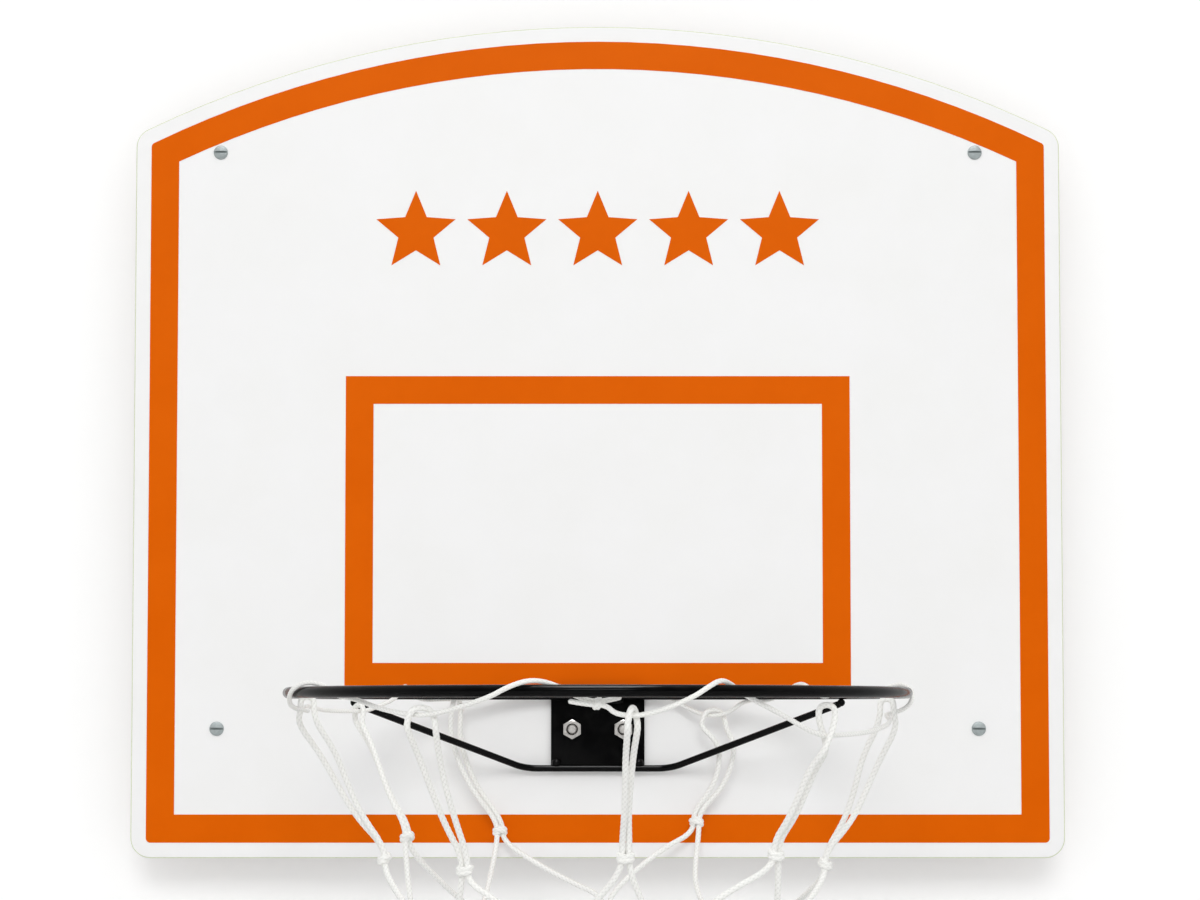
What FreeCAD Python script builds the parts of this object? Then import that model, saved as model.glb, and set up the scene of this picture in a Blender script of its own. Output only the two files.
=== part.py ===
import FreeCAD, Part
import math
import os
from collections import namedtuple

import Sketcher
from FreeCAD import Placement, Rotation, Vector

# A children's basketball backboard that is screwed to a wall: a domed fibreboard panel with printed
# lines, a welded steel hoop on a bolted bracket plate, and a cord net laced to the hoop.
# Millimetres, +Z up. The origin is the middle of the four wall screws, on the panel's rear face.
# +Y points into the wall, so the playing face looks along -Y and +X is to a player's right.

DIMENSIONS = {
    # Backboard panel
    "board_width": 600,
    "board_height": 540,
    "board_thickness": 9,
    "crown_rise": 71.3,
    "corner_radius": 13,
    "front_chamfer": 0.8,
    # Printed films on the playing face
    "print_thickness": 0.2,
    "border_inset": 10,
    "border_band": 18,
    "border_corner": 3,
    "target_width": 326,
    "target_height": 203.6,
    "target_line": 18,
    "target_above_ring": 2.6,
    "star_size": 54,
    "star_waist": 24,
    "star_count": 5,
    "star_pitch": 59,
    "star_row_drop": 6.45,
    # Wall screws
    "screw_side_inset": 55,
    "screw_end_inset": 83,
    "screw_head_diameter": 9.2,
    "screw_head_height": 2.4,
    "screw_slot_width": 1.3,
    "screw_slot_depth": 1.3,
    "screw_shank_diameter": 5,
    "screw_thread_diameter": 4.2,
    "screw_thread_length": 27,
    "screw_tip_length": 8,
    "screw_clearance": 0.25,
    # Hoop ring
    "ring_rod": 6.35,
    "ring_radius": 174,
    "ring_above_bottom": 104.7,
    # Bracket plate, its bolts and nuts
    "plate_width": 60,
    "plate_thickness": 3,
    "plate_print_gap": 0.4,
    "plate_edge_rise": 0.3,
    "plate_corner": 2,
    "bolt_spacing": 32.8,
    "bolt_below_ring": 22,
    "bolt_diameter": 6.35,
    "bolt_clearance": 0.2,
    "bolt_head_diameter": 11.8,
    "bolt_head_recess": 0.3,
    "bolt_slot_width": 1.6,
    "bolt_slot_depth": 1.4,
    "bolt_proud": 2,
    "bolt_end_chamfer": 0.6,
    "nut_across_flats": 11.1,
    "nut_thickness": 5.5,
    "nut_bevel_angle": 30,
    "thread_clearance": 0.1,
    # Brace rod
    "brace_rod": 4.2,
    "brace_below_ring": 47,
    "brace_overhang": 8,
    "brace_bend_radius": 22,
    "brace_end_angle": 122,
    # Weld beads, which fill the gap that is left between two rods or a rod and the plate
    "weld_gap": 0.3,
    "weld_bead_radius": 2.6,
    "weld_bead_length": 34,
    "weld_spot_radius": 3.1,
    "weld_spot_inset": 3.6,
    # Net and lacing cords
    "twine": 3.3,
    "lacing": 2.6,
    "cord_gap": 0.5,
    "strand_gap": 0.3,
    "fold_gap": 0.7,
    "knot_gap": 0.65,
    "knot_wall": 0.9,
    "knot_round": 0.8,
    "knot_height": 7,
    "knot_run": 13,
    "net_pitch": 57,
    "net_tail": 12,
}

doc = FreeCAD.newDocument("backboard")
sheet = doc.addObject("Spreadsheet::Sheet", "dims")
for row, (alias, value) in enumerate(DIMENSIONS.items(), start=1):
    sheet.set(f"A{row}", alias)
    sheet.set(f"B{row}", str(value))
    sheet.setAlias(f"B{row}", alias)
doc.recompute()


def dim(alias):
    """A driving dimension's value, read back from the sheet."""
    return float(sheet.get(alias))


# Lengths that follow from the driving dimensions, as expressions for the sketches and features
CROWN_RADIUS = "((dims.board_width / 2) ^ 2 / (2 * dims.crown_rise) + dims.crown_rise / 2)"
SCREW_ACROSS = "(dims.board_width / 2 - dims.screw_side_inset)"
SCREW_UP = "(dims.board_height / 2 - dims.screw_end_inset)"
RING_DROP = "(dims.board_height / 2 - dims.ring_above_bottom)"
TARGET_BOTTOM = f"(dims.target_above_ring - {RING_DROP})"
PRINT_TOP = "(dims.board_height / 2 - dims.border_inset - dims.border_band)"
STAR_ROW = f"(({TARGET_BOTTOM} + dims.target_height + {PRINT_TOP}) / 2 - dims.star_row_drop)"
RING_BACK = "(dims.board_thickness + dims.plate_thickness + dims.weld_gap + dims.ring_rod / 2)"
RING_CENTRE = f"({RING_BACK} + dims.ring_radius)"
BRACE_BACK = "(dims.board_thickness + dims.plate_thickness + dims.weld_gap + dims.brace_rod / 2)"
BRACE_END_RISE = "(dims.brace_below_ring - (dims.ring_rod + dims.brace_rod) / 2 - dims.weld_gap)"
BRACE_END_REACH = f"({RING_CENTRE} + dims.ring_radius * cos(dims.brace_end_angle * 1 deg) - {BRACE_BACK})"
BRACE_HALF = "(dims.plate_width / 2 + dims.brace_overhang)"
PLATE_ABOVE_RING = "(dims.target_above_ring - dims.plate_print_gap)"
PLATE_BELOW_RING = "(dims.brace_below_ring + dims.brace_rod / 2 - dims.plate_edge_rise)"
BOLT_LEVEL = f"(-{RING_DROP} - dims.bolt_below_ring)"
BOLT_HOLE = "(dims.bolt_diameter + 2 * dims.bolt_clearance)"
NUT_SEAT = "(dims.board_thickness + dims.plate_thickness)"


def value_of(expression):
    """What an expression comes to, in millimetres."""
    return float(sheet.evalExpression(expression))


def new_body(label):
    body = doc.addObject("PartDesign::Body", label)
    body.Label = label
    return body


def origin_plane(body, role):
    return next(plane for plane in body.Origin.OriginFeatures if plane.Role == role)


def new_sketch(body, name, role):
    """A sketch on one of the body's own origin planes."""
    sketch = body.newObject("Sketcher::SketchObject", name)
    sketch.AttachmentSupport = [(origin_plane(body, role), "")]
    sketch.MapMode = "FlatFace"
    return sketch


def new_feature(body, kind, name, **expressions):
    """A PartDesign feature whose properties follow the given expressions."""
    feature = body.newObject(f"PartDesign::{kind}", name)
    for name_of_property, expression in expressions.items():
        feature.setExpression(name_of_property, expression)
    return feature


def place(thing, x="0", y="0", z="0"):
    """Ties an object's position to three expressions."""
    for axis, expression in zip("xyz", (x, y, z)):
        thing.setExpression(f"Placement.Base.{axis}", expression)


def tie(sketch, constraint, expression):
    """Adds a dimension to a sketch and ties it to an expression."""
    index = sketch.addConstraint(constraint)
    sketch.setExpression(f"Constraints[{index}]", expression)


def closed_lines(sketch, points):
    """Straight lines through the points, joined end to start all the way round."""
    ends = [Vector(x, y, 0) for x, y in points]
    lines = [
        sketch.addGeometry(Part.LineSegment(a, b)) for a, b in zip(ends, ends[1:] + ends[:1])
    ]
    for a, b in zip(lines, lines[1:] + lines[:1]):
        sketch.addConstraint(Sketcher.Constraint("Coincident", a, 2, b, 1))
    return lines


def rectangle(sketch, width, height, bottom):
    """A rectangle about the sketch's vertical axis; bottom is its lower edge's place on that axis."""
    half, low, tall = value_of(width) / 2, value_of(bottom), value_of(height)
    base, right, top, left = closed_lines(
        sketch, [(-half, low), (half, low), (half, low + tall), (-half, low + tall)]
    )
    sketch.addConstraint(Sketcher.Constraint("Symmetric", base, 1, base, 2, -2))
    sketch.addConstraint(Sketcher.Constraint("Horizontal", top))
    for upright in (left, right):
        sketch.addConstraint(Sketcher.Constraint("Vertical", upright))
    tie(sketch, Sketcher.Constraint("DistanceX", base, 1, base, 2, 2 * half), width)
    tie(sketch, Sketcher.Constraint("DistanceY", right, 1, right, 2, tall), height)
    tie(sketch, Sketcher.Constraint("DistanceY", -1, 1, base, 1, low), bottom)


def circle(sketch, x, y, diameter):
    """A circle whose centre and diameter follow expressions."""
    at = Vector(value_of(x), value_of(y), 0)
    index = sketch.addGeometry(Part.Circle(at, Vector(0, 0, 1), value_of(diameter) / 2))
    tie(sketch, Sketcher.Constraint("DistanceX", -1, 1, index, 3, at.x), x)
    tie(sketch, Sketcher.Constraint("DistanceY", -1, 1, index, 3, at.y), y)
    tie(sketch, Sketcher.Constraint("Diameter", index, value_of(diameter)), diameter)


def board_outline(sketch, inset):
    """The panel's outline with sharp corners, moved inwards by inset: three sides under a crown arc."""
    gap = value_of(inset)
    half = dim("board_width") / 2 - gap
    low = gap - dim("board_height") / 2
    radius = value_of(CROWN_RADIUS)
    centre = Vector(0, dim("board_height") / 2 - radius, 0)
    lean = math.asin(half / (radius - gap))
    shoulder = centre.y + (radius - gap) * math.cos(lean)
    crown = Part.ArcOfCircle(
        Part.Circle(centre, Vector(0, 0, 1), radius - gap), math.pi / 2 - lean, math.pi / 2 + lean
    )
    base = sketch.addGeometry(Part.LineSegment(Vector(-half, low, 0), Vector(half, low, 0)))
    right = sketch.addGeometry(Part.LineSegment(Vector(half, low, 0), Vector(half, shoulder, 0)))
    arc = sketch.addGeometry(crown)
    left = sketch.addGeometry(Part.LineSegment(Vector(-half, shoulder, 0), Vector(-half, low, 0)))
    for a, b in ((base, right), (right, arc), (arc, left), (left, base)):
        sketch.addConstraint(Sketcher.Constraint("Coincident", a, 2, b, 1))
    sketch.addConstraint(Sketcher.Constraint("Symmetric", base, 1, base, 2, -2))
    sketch.addConstraint(Sketcher.Constraint("PointOnObject", arc, 3, -2))
    for upright in (left, right):
        sketch.addConstraint(Sketcher.Constraint("Vertical", upright))
    tie(
        sketch,
        Sketcher.Constraint("DistanceX", base, 1, base, 2, 2 * half),
        f"dims.board_width - 2 * {inset}",
    )
    tie(
        sketch,
        Sketcher.Constraint("DistanceY", base, 1, -1, 1, -low),
        f"dims.board_height / 2 - {inset}",
    )
    tie(
        sketch,
        Sketcher.Constraint("DistanceY", arc, 3, -1, 1, -centre.y),
        f"{CROWN_RADIUS} - dims.board_height / 2",
    )
    tie(sketch, Sketcher.Constraint("Radius", arc, radius - gap), f"{CROWN_RADIUS} - {inset}")


# Cosine over which two directions count as the same, and the least volume that a cut has to take away
SAME_DIRECTION = 0.99
LEAST_CUT = 0.1


def edges_along_y(shape):
    """Names of the straight edges that run from the front face to the rear one."""
    return [
        f"Edge{i}"
        for i, edge in enumerate(shape.Edges, start=1)
        if edge.Curve.TypeId == "Part::GeomLine"
        and abs(edge.tangentAt(edge.FirstParameter).y) > SAME_DIRECTION
    ]


def face_towards(shape, direction):
    """Name of the flat face that lies furthest along a direction."""
    flat = [
        (face.CenterOfMass.dot(direction), f"Face{i}")
        for i, face in enumerate(shape.Faces, start=1)
        if face.Surface.TypeId == "Part::GeomPlane"
        and face.normalAt(0, 0).dot(direction) > SAME_DIRECTION
    ]
    return max(flat)[1]


def check_cut(before, feature):
    """Stops the build if a pocket or hole has removed nothing."""
    doc.recompute()
    if feature.Shape.Volume > before - LEAST_CUT:
        raise RuntimeError(f"{feature.Name} cuts nothing")


TO_PLAYER = Vector(0, -1, 0)


def make_backboard_panel():
    """Fibreboard with a domed top, a broken front edge and holes for the screws and the bolts."""
    body = new_body("backboard_panel")
    outline = new_sketch(body, "PanelOutline", "XZ_Plane")
    board_outline(outline, "0")
    pad = new_feature(body, "Pad", "PanelPad", Length="dims.board_thickness")
    pad.Profile = outline
    doc.recompute()
    corners = new_feature(body, "Fillet", "PanelCorners", Radius="dims.corner_radius")
    corners.Base = (pad, edges_along_y(pad.Shape))
    doc.recompute()
    front_edge = new_feature(body, "Chamfer", "PanelFrontEdge", Size="dims.front_chamfer")
    front_edge.Base = (corners, [face_towards(corners.Shape, TO_PLAYER)])
    doc.recompute()

    places = new_sketch(body, "ScrewHolePlaces", "XZ_Plane")
    for side in ("-", ""):
        for level in ("-", ""):
            circle(
                places,
                f"{side}{SCREW_ACROSS}",
                f"{level}{SCREW_UP}",
                "dims.screw_shank_diameter + 2 * dims.screw_clearance",
            )
    screw_holes = new_feature(body, "Pocket", "ScrewHoles")
    screw_holes.Profile = places
    screw_holes.Type = "ThroughAll"
    screw_holes.Reversed = True
    check_cut(front_edge.Shape.Volume, screw_holes)

    bolt_places = new_sketch(body, "BoltHolePlaces", "XZ_Plane")
    for side in ("-", ""):
        circle(bolt_places, f"{side}dims.bolt_spacing / 2", BOLT_LEVEL, BOLT_HOLE)
    doc.recompute()
    bolt_holes = new_feature(body, "Hole", "BoltHoles")
    bolt_holes.Profile = bolt_places
    bolt_holes.DepthType = "ThroughAll"
    bolt_holes.Reversed = True
    bolt_holes.HoleCutType = "Countersink"
    bolt_holes.HoleCutCountersinkAngle = 90
    bolt_holes.setExpression("Diameter", BOLT_HOLE)
    bolt_holes.setExpression(
        "HoleCutDiameter",
        "dims.bolt_head_diameter + 2 * dims.bolt_clearance + 2 * dims.bolt_head_recess",
    )
    check_cut(screw_holes.Shape.Volume, bolt_holes)
    return body


def make_border_print():
    """The printed border: a band of ink that follows the panel's outline."""
    body = new_body("border_print")
    place(body, y="-dims.board_thickness")
    band = new_sketch(body, "BorderBand", "XZ_Plane")
    board_outline(band, "dims.border_inset")
    board_outline(band, "(dims.border_inset + dims.border_band)")
    pad = new_feature(body, "Pad", "BorderFilm", Length="dims.print_thickness")
    pad.Profile = band
    doc.recompute()
    reach = dim("board_width") / 2 - dim("border_inset")
    outer = [
        name
        for name in edges_along_y(pad.Shape)
        if abs(abs(pad.Shape.getElement(name).CenterOfMass.x) - reach) < 0.01
    ]
    corners = new_feature(body, "Fillet", "BorderCorners", Radius="dims.border_corner")
    corners.Base = (pad, outer)
    return body


def make_target_print():
    """The printed target square over the hoop."""
    body = new_body("target_print")
    place(body, y="-dims.board_thickness")
    frame = new_sketch(body, "TargetFrame", "XZ_Plane")
    rectangle(frame, "dims.target_width", "dims.target_height", TARGET_BOTTOM)
    rectangle(
        frame,
        "dims.target_width - 2 * dims.target_line",
        "dims.target_height - 2 * dims.target_line",
        f"{TARGET_BOTTOM} + dims.target_line",
    )
    pad = new_feature(body, "Pad", "TargetFilm", Length="dims.print_thickness")
    pad.Profile = frame
    return body


def make_star_print():
    """A row of plain five-pointed stars printed over the target square."""
    body = new_body("star_print")
    place(
        body,
        x="-dims.star_pitch * (dims.star_count - 1) / 2",
        y="-dims.board_thickness",
        z=STAR_ROW,
    )
    star = new_sketch(body, "Star", "XZ_Plane")
    radii = (dim("star_size") / 2, dim("star_waist") / 2)
    turn = math.pi / 5
    corners = [
        (-radii[i % 2] * math.sin(i * turn), radii[i % 2] * math.cos(i * turn)) for i in range(10)
    ]
    sides = closed_lines(star, corners)
    rings = []
    for radius, alias in zip(radii, ("star_size", "star_waist")):
        ring = star.addGeometry(Part.Circle(Vector(), Vector(0, 0, 1), radius), True)
        star.addConstraint(Sketcher.Constraint("Coincident", ring, 3, -1, 1))
        tie(star, Sketcher.Constraint("Diameter", ring, 2 * radius), f"dims.{alias}")
        rings.append(ring)
    for i, side in enumerate(sides):
        star.addConstraint(Sketcher.Constraint("PointOnObject", side, 1, rings[i % 2]))
    for side in sides[1:]:
        star.addConstraint(Sketcher.Constraint("Equal", sides[0], side))
    star.addConstraint(Sketcher.Constraint("PointOnObject", sides[0], 1, -2))
    pad = new_feature(body, "Pad", "StarFilm", Length="dims.print_thickness")
    pad.Profile = star
    doc.recompute()
    repeat = new_feature(
        body,
        "LinearPattern",
        "StarRow",
        Length="dims.star_pitch * (dims.star_count - 1)",
        Occurrences="dims.star_count",
    )
    repeat.Originals = [pad]
    repeat.Direction = (star, ["H_Axis"])
    body.Tip = repeat
    return body


def make_wall_screw(label, side, level):
    """A slotted round-head wood screw: head on the panel, shank through it, thread behind it."""
    body = new_body(label)
    place(body, f"{side}{SCREW_ACROSS}", "-dims.board_thickness", f"{level}{SCREW_UP}")
    head, tall = dim("screw_head_diameter") / 2, dim("screw_head_height")
    shank, thread = dim("screw_shank_diameter") / 2, dim("screw_thread_diameter") / 2
    seat = dim("board_thickness")
    end = seat + dim("screw_thread_length")
    tip = end + dim("screw_tip_length")
    profile = new_sketch(body, "ScrewProfile", "XY_Plane")
    points = [
        Vector(head, 0, 0),
        Vector(shank, 0, 0),
        Vector(shank, seat, 0),
        Vector(thread, seat, 0),
        Vector(thread, end, 0),
        Vector(0, tip, 0),
        Vector(0, -tall, 0),
    ]
    under, body_side, step, threaded, cone, axis = [
        profile.addGeometry(Part.LineSegment(a, b)) for a, b in zip(points, points[1:])
    ]
    dome_radius = (head**2 + tall**2) / (2 * tall)
    middle = Vector(dome_radius * math.sin(0.5 * math.asin(head / dome_radius)), 0, 0)
    middle.y = dome_radius - tall - math.sqrt(dome_radius**2 - middle.x**2)
    dome = profile.addGeometry(Part.Arc(points[-1], middle, points[0]))
    chain = [under, body_side, step, threaded, cone, axis]
    for a, b in zip(chain, chain[1:]):
        profile.addConstraint(Sketcher.Constraint("Coincident", a, 2, b, 1))
    dome_ends = (1, 2)
    if profile.getPoint(dome, 1).distanceToPoint(points[0]) < 1e-6:
        dome_ends = (2, 1)
    profile.addConstraint(Sketcher.Constraint("Coincident", axis, 2, dome, dome_ends[0]))
    profile.addConstraint(Sketcher.Constraint("Coincident", dome, dome_ends[1], under, 1))
    profile.addConstraint(Sketcher.Constraint("PointOnObject", dome, 3, -2))
    profile.addConstraint(Sketcher.Constraint("PointOnObject", axis, 1, -2))
    profile.addConstraint(Sketcher.Constraint("PointOnObject", axis, 2, -2))
    profile.addConstraint(Sketcher.Constraint("PointOnObject", under, 1, -1))
    profile.addConstraint(Sketcher.Constraint("PointOnObject", under, 2, -1))
    for line in (body_side, threaded):
        profile.addConstraint(Sketcher.Constraint("Vertical", line))
    profile.addConstraint(Sketcher.Constraint("Horizontal", step))
    across = (
        (under, 1, head, "dims.screw_head_diameter / 2"),
        (under, 2, shank, "dims.screw_shank_diameter / 2"),
        (threaded, 1, thread, "dims.screw_thread_diameter / 2"),
    )
    for line, point, at, expression in across:
        tie(profile, Sketcher.Constraint("DistanceX", -1, 1, line, point, at), expression)
    along = (
        (step, 1, seat, "dims.board_thickness"),
        (threaded, 2, end, "dims.board_thickness + dims.screw_thread_length"),
        (cone, 2, tip, "dims.board_thickness + dims.screw_thread_length + dims.screw_tip_length"),
    )
    for line, point, at, expression in along:
        tie(profile, Sketcher.Constraint("DistanceY", -1, 1, line, point, at), expression)
    tie(
        profile,
        Sketcher.Constraint("DistanceY", axis, 2, -1, 1, tall),
        "dims.screw_head_height",
    )
    turned = new_feature(body, "Revolution", "ScrewTurned")
    turned.Profile = profile
    turned.ReferenceAxis = (profile, ["V_Axis"])
    doc.recompute()

    slot = new_sketch(body, "ScrewSlot", "XZ_Plane")
    slot.setExpression("AttachmentOffset.Base.z", "dims.screw_head_height")
    rectangle(
        slot,
        "dims.screw_head_diameter + 1",
        "dims.screw_slot_width",
        "-dims.screw_slot_width / 2",
    )
    pocket = new_feature(body, "Pocket", "ScrewSlotCut", Length="dims.screw_slot_depth")
    pocket.Profile = slot
    check_cut(turned.Shape.Volume, pocket)
    return body


def make_bracket_plate():
    """The steel plate that carries the hoop, bolted to the panel's face."""
    body = new_body("bracket_plate")
    place(body, y="-dims.board_thickness", z=f"-{RING_DROP}")
    outline = new_sketch(body, "PlateOutline", "XZ_Plane")
    rectangle(
        outline,
        "dims.plate_width",
        f"{PLATE_ABOVE_RING} + {PLATE_BELOW_RING}",
        f"-{PLATE_BELOW_RING}",
    )
    pad = new_feature(body, "Pad", "PlatePad", Length="dims.plate_thickness")
    pad.Profile = outline
    doc.recompute()
    corners = new_feature(body, "Fillet", "PlateCorners", Radius="dims.plate_corner")
    corners.Base = (pad, edges_along_y(pad.Shape))
    doc.recompute()
    places = new_sketch(body, "PlateHolePlaces", "XZ_Plane")
    for side in ("-", ""):
        circle(places, f"{side}dims.bolt_spacing / 2", "-dims.bolt_below_ring", BOLT_HOLE)
    holes = new_feature(body, "Pocket", "PlateHoles")
    holes.Profile = places
    holes.Type = "ThroughAll"
    holes.Reversed = True
    check_cut(corners.Shape.Volume, holes)
    return body


def make_bracket_bolt(label, side):
    """A slotted countersunk bolt, its head sunk in the panel's rear face."""
    body = new_body(label)
    place(body, f"{side}dims.bolt_spacing / 2", "-dims.bolt_head_recess", BOLT_LEVEL)
    length = f"{NUT_SEAT} + dims.nut_thickness + dims.bolt_proud - dims.bolt_head_recess"
    head, shank = dim("bolt_head_diameter") / 2, dim("bolt_diameter") / 2
    end, chamfer = value_of(length), dim("bolt_end_chamfer")
    profile = new_sketch(body, "BoltProfile", "XY_Plane")
    axis, top, cone, stem, bevel, foot = closed_lines(
        profile,
        [
            (0, -end),
            (0, 0),
            (head, 0),
            (shank, shank - head),
            (shank, chamfer - end),
            (shank - chamfer, -end),
        ],
    )
    profile.addConstraint(Sketcher.Constraint("Coincident", axis, 2, -1, 1))
    for line in (axis, stem):
        profile.addConstraint(Sketcher.Constraint("Vertical", line))
    for line in (top, foot):
        profile.addConstraint(Sketcher.Constraint("Horizontal", line))
    tie(profile, Sketcher.Constraint("DistanceX", top, 1, top, 2, head), "dims.bolt_head_diameter / 2")
    tie(profile, Sketcher.Constraint("DistanceX", -1, 1, stem, 1, shank), "dims.bolt_diameter / 2")
    tie(
        profile,
        Sketcher.Constraint("DistanceY", stem, 1, -1, 1, head - shank),
        "(dims.bolt_head_diameter - dims.bolt_diameter) / 2",
    )
    tie(profile, Sketcher.Constraint("DistanceY", axis, 1, axis, 2, end), length)
    tie(profile, Sketcher.Constraint("DistanceX", bevel, 2, bevel, 1, chamfer), "dims.bolt_end_chamfer")
    tie(profile, Sketcher.Constraint("DistanceY", bevel, 2, bevel, 1, chamfer), "dims.bolt_end_chamfer")
    turned = new_feature(body, "Revolution", "BoltTurned")
    turned.Profile = profile
    turned.ReferenceAxis = (profile, ["V_Axis"])
    doc.recompute()

    slot = new_sketch(body, "BoltSlot", "XZ_Plane")
    rectangle(slot, "dims.bolt_head_diameter + 1", "dims.bolt_slot_width", "-dims.bolt_slot_width / 2")
    pocket = new_feature(body, "Pocket", "BoltSlotCut", Length="dims.bolt_slot_depth")
    pocket.Profile = slot
    pocket.Reversed = True
    check_cut(turned.Shape.Volume, pocket)
    return body


def make_bracket_nut(label, side):
    """A hexagon nut on the plate, points up and down, its outer corners turned off."""
    body = new_body(label)
    place(body, f"{side}dims.bolt_spacing / 2", f"-{NUT_SEAT}", BOLT_LEVEL)
    corner = dim("nut_across_flats") / math.sqrt(3)
    hexagon = new_sketch(body, "NutHexagon", "XZ_Plane")
    turn = math.pi / 3
    sides = closed_lines(
        hexagon, [(-corner * math.sin(i * turn), corner * math.cos(i * turn)) for i in range(6)]
    )
    ring = hexagon.addGeometry(Part.Circle(Vector(), Vector(0, 0, 1), corner), True)
    hexagon.addConstraint(Sketcher.Constraint("Coincident", ring, 3, -1, 1))
    for line in sides:
        hexagon.addConstraint(Sketcher.Constraint("PointOnObject", line, 1, ring))
    for line in sides[1:]:
        hexagon.addConstraint(Sketcher.Constraint("Equal", sides[0], line))
    hexagon.addConstraint(Sketcher.Constraint("PointOnObject", sides[0], 1, -2))
    tie(
        hexagon,
        Sketcher.Constraint("Diameter", ring, 2 * corner),
        "2 * dims.nut_across_flats / sqrt(3)",
    )
    circle(hexagon, "0", "0", "dims.bolt_diameter + 2 * dims.thread_clearance")
    pad = new_feature(body, "Pad", "NutPad", Length="dims.nut_thickness")
    pad.Profile = hexagon
    doc.recompute()

    flat, thick = dim("nut_across_flats") / 2, dim("nut_thickness")
    outside = dim("nut_across_flats")
    fall = (outside - flat) * math.tan(math.radians(dim("nut_bevel_angle")))
    bevel = new_sketch(body, "NutBevel", "XY_Plane")
    face, wall, _ = closed_lines(
        bevel, [(flat, -thick), (outside, -thick), (outside, fall - thick)]
    )
    bevel.addConstraint(Sketcher.Constraint("Horizontal", face))
    bevel.addConstraint(Sketcher.Constraint("Vertical", wall))
    tie(bevel, Sketcher.Constraint("DistanceX", -1, 1, face, 1, flat), "dims.nut_across_flats / 2")
    tie(bevel, Sketcher.Constraint("DistanceX", -1, 1, face, 2, outside), "dims.nut_across_flats")
    tie(bevel, Sketcher.Constraint("DistanceY", face, 1, -1, 1, thick), "dims.nut_thickness")
    tie(
        bevel,
        Sketcher.Constraint("DistanceY", wall, 1, wall, 2, fall),
        "dims.nut_across_flats / 2 * tan(dims.nut_bevel_angle * 1 deg)",
    )
    groove = new_feature(body, "Groove", "NutCorners")
    groove.Profile = bevel
    groove.ReferenceAxis = (bevel, ["V_Axis"])
    check_cut(pad.Shape.Volume, groove)
    return body


def make_rim_ring():
    """The hoop: round steel rod bent to a circle, just clear of the plate's face."""
    ring = doc.addObject("Part::Torus", "rim_ring")
    ring.setExpression("Radius1", "dims.ring_radius")
    ring.setExpression("Radius2", "dims.ring_rod / 2")
    place(ring, y=f"-{RING_CENTRE}", z=f"-{RING_DROP}")
    return ring


def make_brace_rod():
    """One rod bent in a slanted plane: along the plate's lower edge, then out and up to the ring."""
    body = new_body("brace_rod")
    place(body, y=f"-{BRACE_BACK}", z=f"-{RING_DROP} - dims.brace_below_ring")
    body.Placement.Rotation = Rotation(Vector(1, 0, 0), 90)
    body.setExpression(
        "Placement.Rotation.Angle", f"180 deg - atan2({BRACE_END_RISE}; {BRACE_END_REACH})"
    )
    section = new_sketch(body, "BraceSection", "YZ_Plane")
    circle(section, "0", "0", "dims.brace_rod")

    out = "(dims.ring_radius * sin(dims.brace_end_angle * 1 deg))"
    slant = f"sqrt({BRACE_END_RISE} ^ 2 + {BRACE_END_REACH} ^ 2)"
    half, bend = value_of(BRACE_HALF), dim("brace_bend_radius")
    end = Vector(value_of(out), value_of(slant), 0)
    centre = Vector(half, bend, 0)
    # the far run is the tangent from its end point to the bend's circle
    to_end = end - centre
    reach = math.atan2(to_end.y, to_end.x) - math.acos(bend / to_end.Length)
    touch = centre + Vector(bend * math.cos(reach), bend * math.sin(reach), 0)
    path = new_sketch(body, "BracePath", "XY_Plane")
    straight = path.addGeometry(Part.LineSegment(Vector(), Vector(half, 0, 0)))
    arc = path.addGeometry(
        Part.ArcOfCircle(Part.Circle(centre, Vector(0, 0, 1), bend), -math.pi / 2, reach)
    )
    arm = path.addGeometry(Part.LineSegment(touch, end))
    path.addConstraint(Sketcher.Constraint("Coincident", straight, 1, -1, 1))
    path.addConstraint(Sketcher.Constraint("Horizontal", straight))
    path.addConstraint(Sketcher.Constraint("Tangent", straight, 2, arc, 1))
    path.addConstraint(Sketcher.Constraint("Tangent", arc, 2, arm, 1))
    tie(path, Sketcher.Constraint("DistanceX", straight, 1, straight, 2, half), BRACE_HALF)
    tie(path, Sketcher.Constraint("Radius", arc, bend), "dims.brace_bend_radius")
    tie(path, Sketcher.Constraint("DistanceX", -1, 1, arm, 2, end.x), out)
    tie(path, Sketcher.Constraint("DistanceY", -1, 1, arm, 2, end.y), slant)
    doc.recompute()
    pipe = new_feature(body, "AdditivePipe", "BraceHalf")
    pipe.Profile = section
    pipe.Spine = (path, ["Edge1", "Edge2", "Edge3"])
    doc.recompute()
    mirror = new_feature(body, "Mirrored", "BraceWhole")
    mirror.Originals = [pipe]
    mirror.MirrorPlane = (origin_plane(body, "YZ_Plane"), [""])
    body.Tip = mirror
    return body


def cut_by(label, blank, *others):
    """The blank less what stands in its way; the last cut carries the label."""
    for number, other in enumerate(others, start=1):
        cut = doc.addObject("Part::Cut", label if number == len(others) else f"{label}_blank")
        cut.Base = blank
        cut.Tool = other
        blank = cut
    blank.Label = label
    return blank


def make_rim_weld(label, level, ring, plate):
    """A bead along the ring where it meets the plate, over or under the rod."""
    bead = doc.addObject("Part::Cylinder", f"{label}_rod")
    bead.setExpression("Radius", "dims.weld_bead_radius")
    bead.setExpression("Height", "dims.weld_bead_length")
    bead.Placement.Rotation = Rotation(Vector(0, 1, 0), 90)
    place(
        bead,
        "-dims.weld_bead_length / 2",
        f"-({NUT_SEAT} + dims.weld_bead_radius / 2)",
        f"-{RING_DROP} {level} (dims.ring_rod / 2 + dims.weld_bead_radius / 4)",
    )
    return cut_by(label, bead, plate, ring)


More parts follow.
